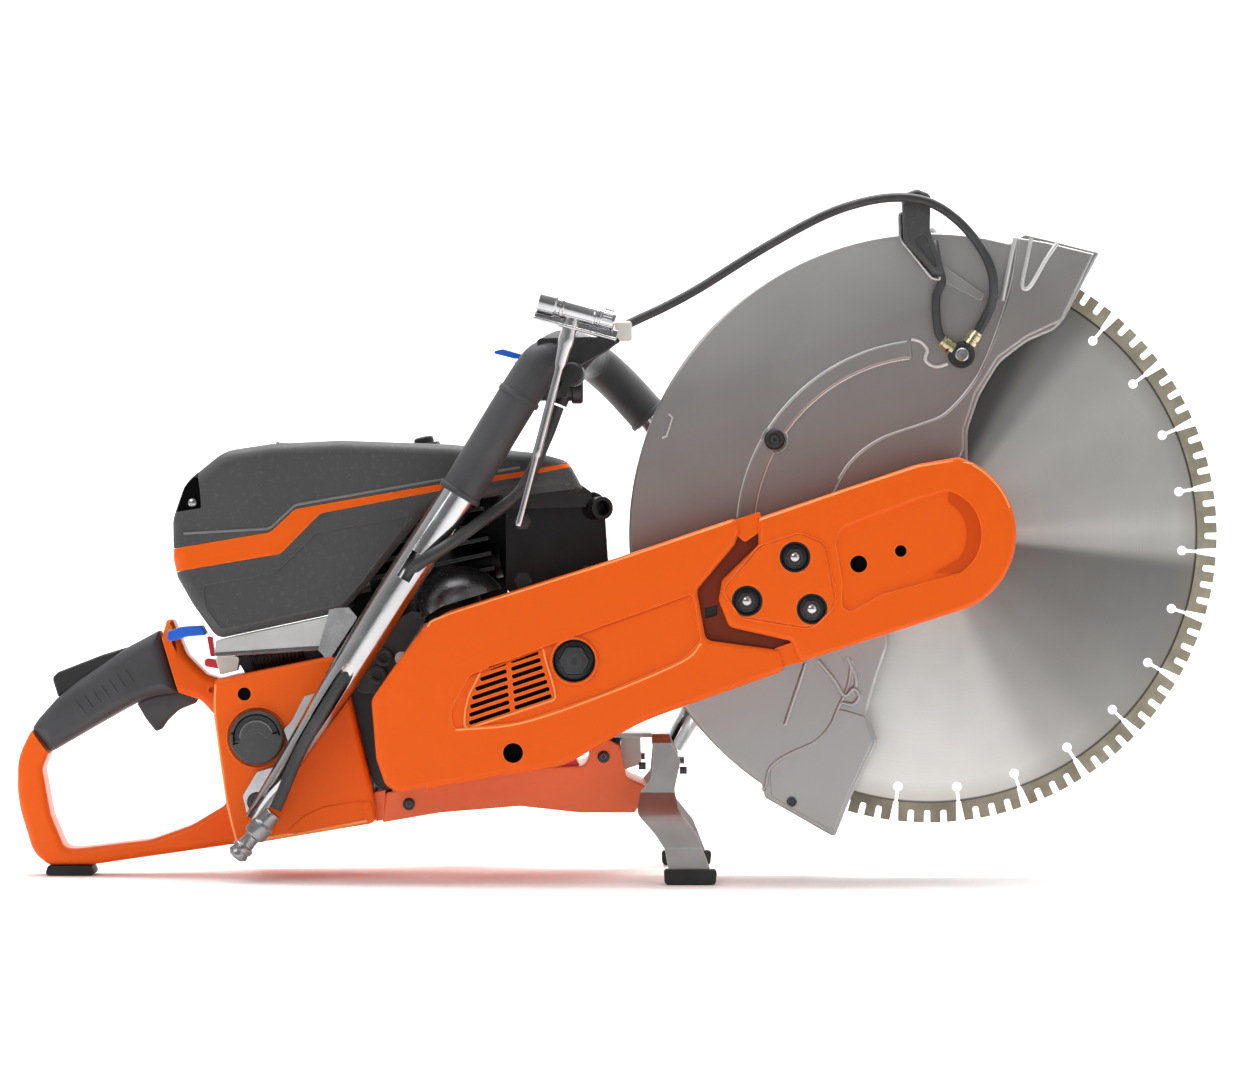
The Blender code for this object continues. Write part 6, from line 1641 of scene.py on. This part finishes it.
def nipple():
    """Turned quick coupling at the supply hose's lower end."""
    profile = [
        (0, 0), (5.6, 0), (6.2, 1), (6.2, 9), (7.6, 10.4), (8, 11.5), (8, 19), (7.2, 20.6), (5.4, 21.6),
        (5.2, 25), (5.6, 28.6), (7.0, 29.6), (7.4, 31), (7.4, 33), (6.6, 33.8), (6.6, 35), (7.2, 35.8),
        (7.2, 37.6), (5, 40), (3, 40), (3, 30), (0, 30),
    ]
    body = lathe(profile, (147.1, -80.5, 47.2), (-26.6, 2, -30.7), 48)
    piece(body, "hose_coupling", "zinc", "frame", "hose_nipple", slot="bright_steel")


# ---------------------------------------------------------------- front handle and wrench

HANDLE_PATH = [
    (132, -66.5, 42.3), (165.6, -73, 93.7), (191.5, -80.5, 134.5), (233.6, -85, 202.5), (272.4, -85, 261.7),
    (322, -85, 343), (334, -83, 356), (341.5, -75, 361.5), (345, -60, 363), (351, 0, 364.5), (357, 60, 365),
    (360, 84, 364), (366, 98, 360), (383, 105, 345), (406, 106, 320), (432, 106, 280), (444, 106, 220),
    (445, 105, 160), (438.6, 98, 115), (429, 90, 96), (421, 84, 82),
]
GRIP_FROM, GRIP_TO = 4, 14
TUBE_R = 12.3


def front_handle():
    """The bent tube: flattened at both feet, with a groove for the hose, and thinner inside the grip."""
    groove = [
        (122, -72, 28), (140, -76, 54), (153, -80.5, 70), (166, -84, 92), (181, -88, 116), (193, -91.5, 135),
        (200, -97, 146),
    ]
    slot = [(236, -97.6, 206.5), (241, -98.4, 214.5), (247, -97.6, 224)]
    rear = [*HANDLE_PATH[:GRIP_FROM + 1], (275, -85, 265.8)]
    tail = flow(rear, TUBE_R, 40, [0.46, 0.72, 0.92, 1, 1, 1])
    tail = soft(cut(tail, flow(groove, 5.6, 24), flow(slot, 5.2, 20)), 0.6, 3, 50)
    front = [(403, 106, 323.4), *HANDLE_PATH[GRIP_TO:]]
    fore = flow(front, TUBE_R, 40, [1, 1, 1, 1, 1, 0.9, 0.8, 0.7])
    core = flow(HANDLE_PATH[GRIP_FROM:GRIP_TO + 1], 9.9, 24)
    piece(group(tail, fore, core), "handle_tube", "chrome", "frame", "front_handle")


def handle_grip():
    """Rubber sleeve over the tube's upper half, with a ring near each end and one at the bend."""
    path = [(273.6, -85, 263.6), *HANDLE_PATH[GRIP_FROM + 1:GRIP_TO], (404.4, 106, 321.8)]
    piece(flow(path, 14.2, 48), "handle_grip_sleeve", "grip", "frame", "front_handle_grip")
    profile = [(13.6, -2), (14.9, -2), (15.3, -1.2), (15.3, 1.2), (14.9, 2), (13.6, 2), (13.6, -2)]
    rings = [
        lathe(profile, (314.5, -85.2, 330.6), (49.6, 0, 81.3), 56),
        lathe(profile, (274.4, -85, 264.9), (49.6, 0, 81.3), 56),
        lathe(profile, (403.6, 106, 322.9), (-23, -1, 25), 56),
    ]
    piece(group(*rings), "handle_grip_rings", "grip", "frame")


def handle_bracket():
    """Bright sheet bracket that bolts the handle's foot to the tank."""
    outline = [
        (167, 126, 3), (158.2, 108.7, 3), (152.8, 103.3, 3), (156.1, 94.6, 3), (152.8, 79.4, 4),
        (134.4, 74, 5), (124.8, 57.7, 3), (128.2, 43.5, 3), (139.8, 44.5, 6), (178, 98, 6), (190, 122, 4),
        (181, 130, 4),
    ]
    sheet = slab(outline, TANK_RIGHT_Y - 3.4, TANK_RIGHT_Y - 1.4, 0.8)
    piece(sheet, "handle_bracket_sheet", "chrome", "frame")
    x, z = 134.6, 53.6
    profile = [(0, -60), (7, -60), (7, -61.4), (5.2, -61.6), (5.2, -63.8), (4.4, -64.5), (0, -64.5)]
    bolt = cut(lathe(profile, (x, 0, z), steps=40), rod((x, -68, z), (x, -63.2, z), 2.6, 6))
    piece(bolt, "handle_bracket_bolt", "dark", "frame")


def wrench():
    """Combination wrench: a cross bar with a socket at each end, and a stepped shaft."""
    y = node_centre("combination_wrench").y
    way = Vector((51.6, 0, -13.7)).normalized()
    start = Vector((328.4, y, 394.4))
    profile = [
        (0, 0), (8.5, 0), (8.5, 10.5), (8.0, 12), (7.2, 12.8), (7.2, 15), (7.9, 15.6), (7.9, 17),
        (7.2, 17.6), (7.2, 38), (7.7, 38.6), (7.7, 39.6), (7.0, 40.2), (7.0, 41.4), (7.7, 42), (7.7, 43),
        (7.0, 43.6), (7.0, 52.6), (6.2, 53.4), (0, 53.4),
    ]
    bar = lathe(profile[::-1], tuple(start), tuple(way), 56)
    sockets = [
        rod(tuple(start - way * 3), tuple(start + way * 7), 6, 6),
        rod(tuple(start + way * 47), tuple(start + way * 60), 4.6, 6),
    ]
    bar = soft(cut(bar, *sockets), 0.35, 2, 50)
    knurl = []
    for i in range(24):
        angle = i * math.tau / 24
        side = Vector((0, 1, 0)) * math.cos(angle) + way.cross(Vector((0, 1, 0))) * math.sin(angle)
        a = start + way * 44.6 + side * 7.0
        knurl.append(rod(tuple(a), tuple(a + way * 6.4), 0.42, 6))
    shaft_profile = [
        (0, 0), (4.9, 0), (5.2, 4), (5.2, 14), (5.6, 15), (5.6, 20), (4.8, 23), (4.2, 34), (3.0, 37),
        (2.9, 92), (3.1, 93), (3.1, 98), (2.3, 99.5), (2.3, 145), (1.8, 147), (0, 147),
    ]
    shaft = lathe(shaft_profile[::-1], (351.5, y, 385), (-9.4, 0, -36), 40)
    piece(group(joined(bar, shaft), *knurl), "wrench_chromed", "chrome", "wrench", "combination_wrench")


def wrench_tray():
    """Bright clip tray on the handle that holds the wrench, with its elbow and stay."""
    y = node_centre("combination_wrench").y
    slope = Matrix.Translation(Vector((355, y, 377)) * MM) @ Matrix.Rotation(math.radians(15), 4, "Y")
    floor = soft(box((-31, -9.5, -2.6), (27, 9.5, -0.6), slope), 0.8, 3)
    upright = soft(box((-31, 8.2, -2.6), (27, 9.8, 5.0), slope), 0.6, 3)
    gap = rod((351.5, y, 392), (344, y, 356), 6.6, 32)
    piece(group(cut(floor, gap), upright), "wrench_tray", "chrome", "frame")
    stay = [(331, 352, 3), (326, 370, 3), (360, 371, 3), (381, 371, 2), (384, 368, 2), (352, 349, 4)]
    piece(slab(stay, -92.5, -89, 0.9), "wrench_tray_stay", "black", "frame")
    elbow = box((-6, -6, -7), (6, 6, 6.5), Matrix.Translation(Vector((385.5, -62, 376.5)) * MM))
    piece(soft(elbow, 2.2, 4), "hose_elbow", "cream", "frame")
    profile = [(0, 4), (7, 4), (8.4, 2.6), (8.4, -2.6), (7, -4), (0, -4)]
    knob = lathe(profile, (351, -92, 345.6), (0.2, 1, 0), 40)
    tab = slab([(345, 343, 1), (350, 341, 2), (347, 329, 2), (342, 331, 2)], -94, -90, 0.8)
    piece(group(knob, tab), "tray_knob", "black", "frame")


def tap():
    """Water tap below the grip: barrel, knob, drain and outlet pipe, with its blue lever on top."""
    y, z = -60, 336
    barrel = rod((313, y, z), (352, y, z), 7.5, 40)
    profile = [(0, 8), (8.4, 8), (9.5, 6.8), (9.5, 1.2), (8.4, 0), (0, 0)]
    knob = lathe(profile, (350, y, z), (1, 0, 0), 40)
    pipe = flow([(352, y, z + 2), (356, y, 349), (364, y, 359), (375, y, 366.5), (384.4, y, 374)], 2.9, 20)
    stem = rod((319, y, z), (315, y, 356), 4, 24)
    drain = rod((346, y, z), (342, y, 326), 5, 24)
    body = joined(soft(barrel, 0.8, 2), knob, stem, drain)
    piece(group(body, pipe), "tap_body", "black", "frame", "water_tap")
    lever = [(293.8, 361.8, 2), (303, 364.0, 4), (318.5, 359.5, 2), (316, 357.4), (311, 357.4, 3)]
    piece(slab(lever, -63.5, -56.5, 0.9, 4), "tap_lever_moulded", "blue", "tap", "tap_lever")


# ---------------------------------------------------------------- stand and feet


def stand():
    """Front stand with its rubber feet and pins, and the rear foot."""
    piece(copied("front_stand", 0.8, 3, 25), "stand_pressing", "stand", "frame", "front_stand")
    for side, name in ((-1, "right"), (1, "left")):
        piece(copied("stand_foot_" + name, 1.2, 3), f"stand_foot_{name}_rubber", "foot", "frame",
              "stand_foot_" + name)
        pin = [(0, 5), (2.6, 5), (2.6, 0), (0, 0)]
        pins = [lathe(pin, (x, side * 74, z), (1, 0, 0), 24) for x, z in ((396, 79), (424, 76))]
        piece(group(*pins), f"stand_pins_{name}", "dark", "frame")
    piece(copied("rear_foot", 1.4, 4), "rear_foot_rubber", "foot", "frame", "rear_foot")


# ---------------------------------------------------------------- assembly


def build_looks():
    """Dress the CAD nodes and add every other piece."""
    dress_cad_nodes()
    for make in (
        handle_and_tank, tank_details, fuel_cap, rear_grip, trigger_and_lockout, bracket_and_controls,
        top_cover, cover_lines, stripe, filter_housing, cover_fittings,
        engine_blocks, engine_cowl, clutch_dome, belly_details, starter, starter_handle,
        rear_belt_cover, rear_cover_lines, front_belt_cover, cover_gap, clamp_set, tensioner,
        blade_core_disc, blade_segments, blade_mounting,
        guard_shell, guard_steps, guard_details, guard_lever,
        water_fitting, guard_short_hose, upper_hose, lower_hose, nipple,
        front_handle, handle_grip, handle_bracket, wrench, wrench_tray, tap, stand,
    ):
        make()


# ---------------------------------------------------------------- studio


def studio_floor():
    """A pale sweep, a floor that curves up behind the saw. From behind, a camera sees through it."""
    near, depth, height, bend, half = -9.0, 1.6, 3.0, 0.7, 6.0
    turns = [math.radians(90 * i / 16) for i in range(17)]
    curve = [(depth + bend * math.sin(a), bend - bend * math.cos(a)) for a in turns]
    line = [(near, 0.0), *curve, (depth + bend, height)]
    mesh = bpy.data.meshes.new("sweep")
    verts = [(x, y, z - 0.0004) for x in (-half, half) for y, z in line]
    count = len(line)
    faces = [(count + i, count + i + 1, i + 1, i) for i in range(count - 1)]
    mesh.from_pydata(verts, [], faces)
    sweep = new_object("sweep", mesh)
    mesh.shade_smooth()
    paper = bpy.data.materials.new("paper_backdrop")
    paper.use_nodes = True
    tree = paper.node_tree
    shader = tree.nodes["Principled BSDF"]
    shader.inputs["Base Color"].default_value = (0.93, 0.93, 0.93, 1)
    shader.inputs["Roughness"].default_value = 0.9
    clear = tree.nodes.new("ShaderNodeBsdfTransparent")
    side = tree.nodes.new("ShaderNodeNewGeometry")
    choice = tree.nodes.new("ShaderNodeMixShader")
    tree.links.new(side.outputs["Backfacing"], choice.inputs["Fac"])
    tree.links.new(shader.outputs["BSDF"], choice.inputs[1])
    tree.links.new(clear.outputs["BSDF"], choice.inputs[2])
    tree.links.new(choice.outputs["Shader"], tree.nodes["Material Output"].inputs["Surface"])
    mesh.materials.append(paper)


def area_light(name, place, target, size, power):
    """A rectangular lamp at a place, aimed at a target; power is in watts."""
    data = bpy.data.lights.new(name, "AREA")
    data.shape = "RECTANGLE"
    data.size, data.size_y = size
    data.energy = power
    light = bpy.data.objects.new(name, data)
    bpy.context.scene.collection.objects.link(light)
    light.location = place
    light.rotation_euler = (Vector(target) - Vector(place)).to_track_quat("-Z", "Y").to_euler()


def studio_world():
    """White where the camera sees it; as a light, dim behind the photographer and brighter past the saw."""
    world = bpy.data.worlds.new("studio")
    world.use_nodes = True
    tree = world.node_tree
    place = tree.nodes.new("ShaderNodeTexCoord").outputs["Generated"]
    axes = tree.nodes.new("ShaderNodeSeparateXYZ")
    tree.links.new(place, axes.inputs["Vector"])
    ramp = tree.nodes.new("ShaderNodeMapRange")
    for socket, value in {"From Min": -1.0, "From Max": 0.2, "To Min": 0.20, "To Max": 0.6}.items():
        ramp.inputs[socket].default_value = value
    tree.links.new(axes.outputs["Y"], ramp.inputs["Value"])
    seen = tree.nodes.new("ShaderNodeLightPath").outputs["Is Camera Ray"]
    strength = tree.nodes.new("ShaderNodeMath")
    strength.operation = "MAXIMUM"
    tree.links.new(ramp.outputs["Result"], strength.inputs[0])
    tree.links.new(seen, strength.inputs[1])
    background = tree.nodes["Background"]
    tree.links.new(strength.outputs[0], background.inputs["Strength"])
    background.inputs["Color"].default_value = (1, 1, 1, 1)
    bpy.context.scene.world = world


def studio_lights():
    """Four soft lamps round the saw, and one on the backdrop."""
    middle = (0.38, 0, 0.25)
    area_light("key", (-0.9, -2.0, 1.9), middle, (1.6, 1.0), 17)
    area_light("fill", (2.4, -1.8, 0.9), middle, (1.4, 1.4), 5)
    area_light("top", (0.4, 0.2, 2.3), middle, (2.2, 1.6), 34)
    area_light("rim", (1.4, 1.3, 1.4), middle, (1.2, 1.0), 11)
    area_light("backdrop", (0.4, 0.4, 2.6), (0.4, 2.4, 0.9), (3.0, 1.0), 110)


def camera():
    """The photographer's camera: level, square to the saw's side."""
    data = bpy.data.cameras.new("camera")
    data.lens, data.sensor_width = 137.4, 36.0
    data.clip_end = 50
    obj = bpy.data.objects.new("camera", data)
    obj.location = (0.385, -3.318, 0.2335)
    obj.rotation_euler = (math.pi / 2, 0, 0)
    bpy.context.scene.collection.objects.link(obj)
    bpy.context.scene.camera = obj


build_looks()
studio_floor()
studio_world()
studio_lights()
camera()
bpy.context.scene.view_settings.view_transform = "Standard"
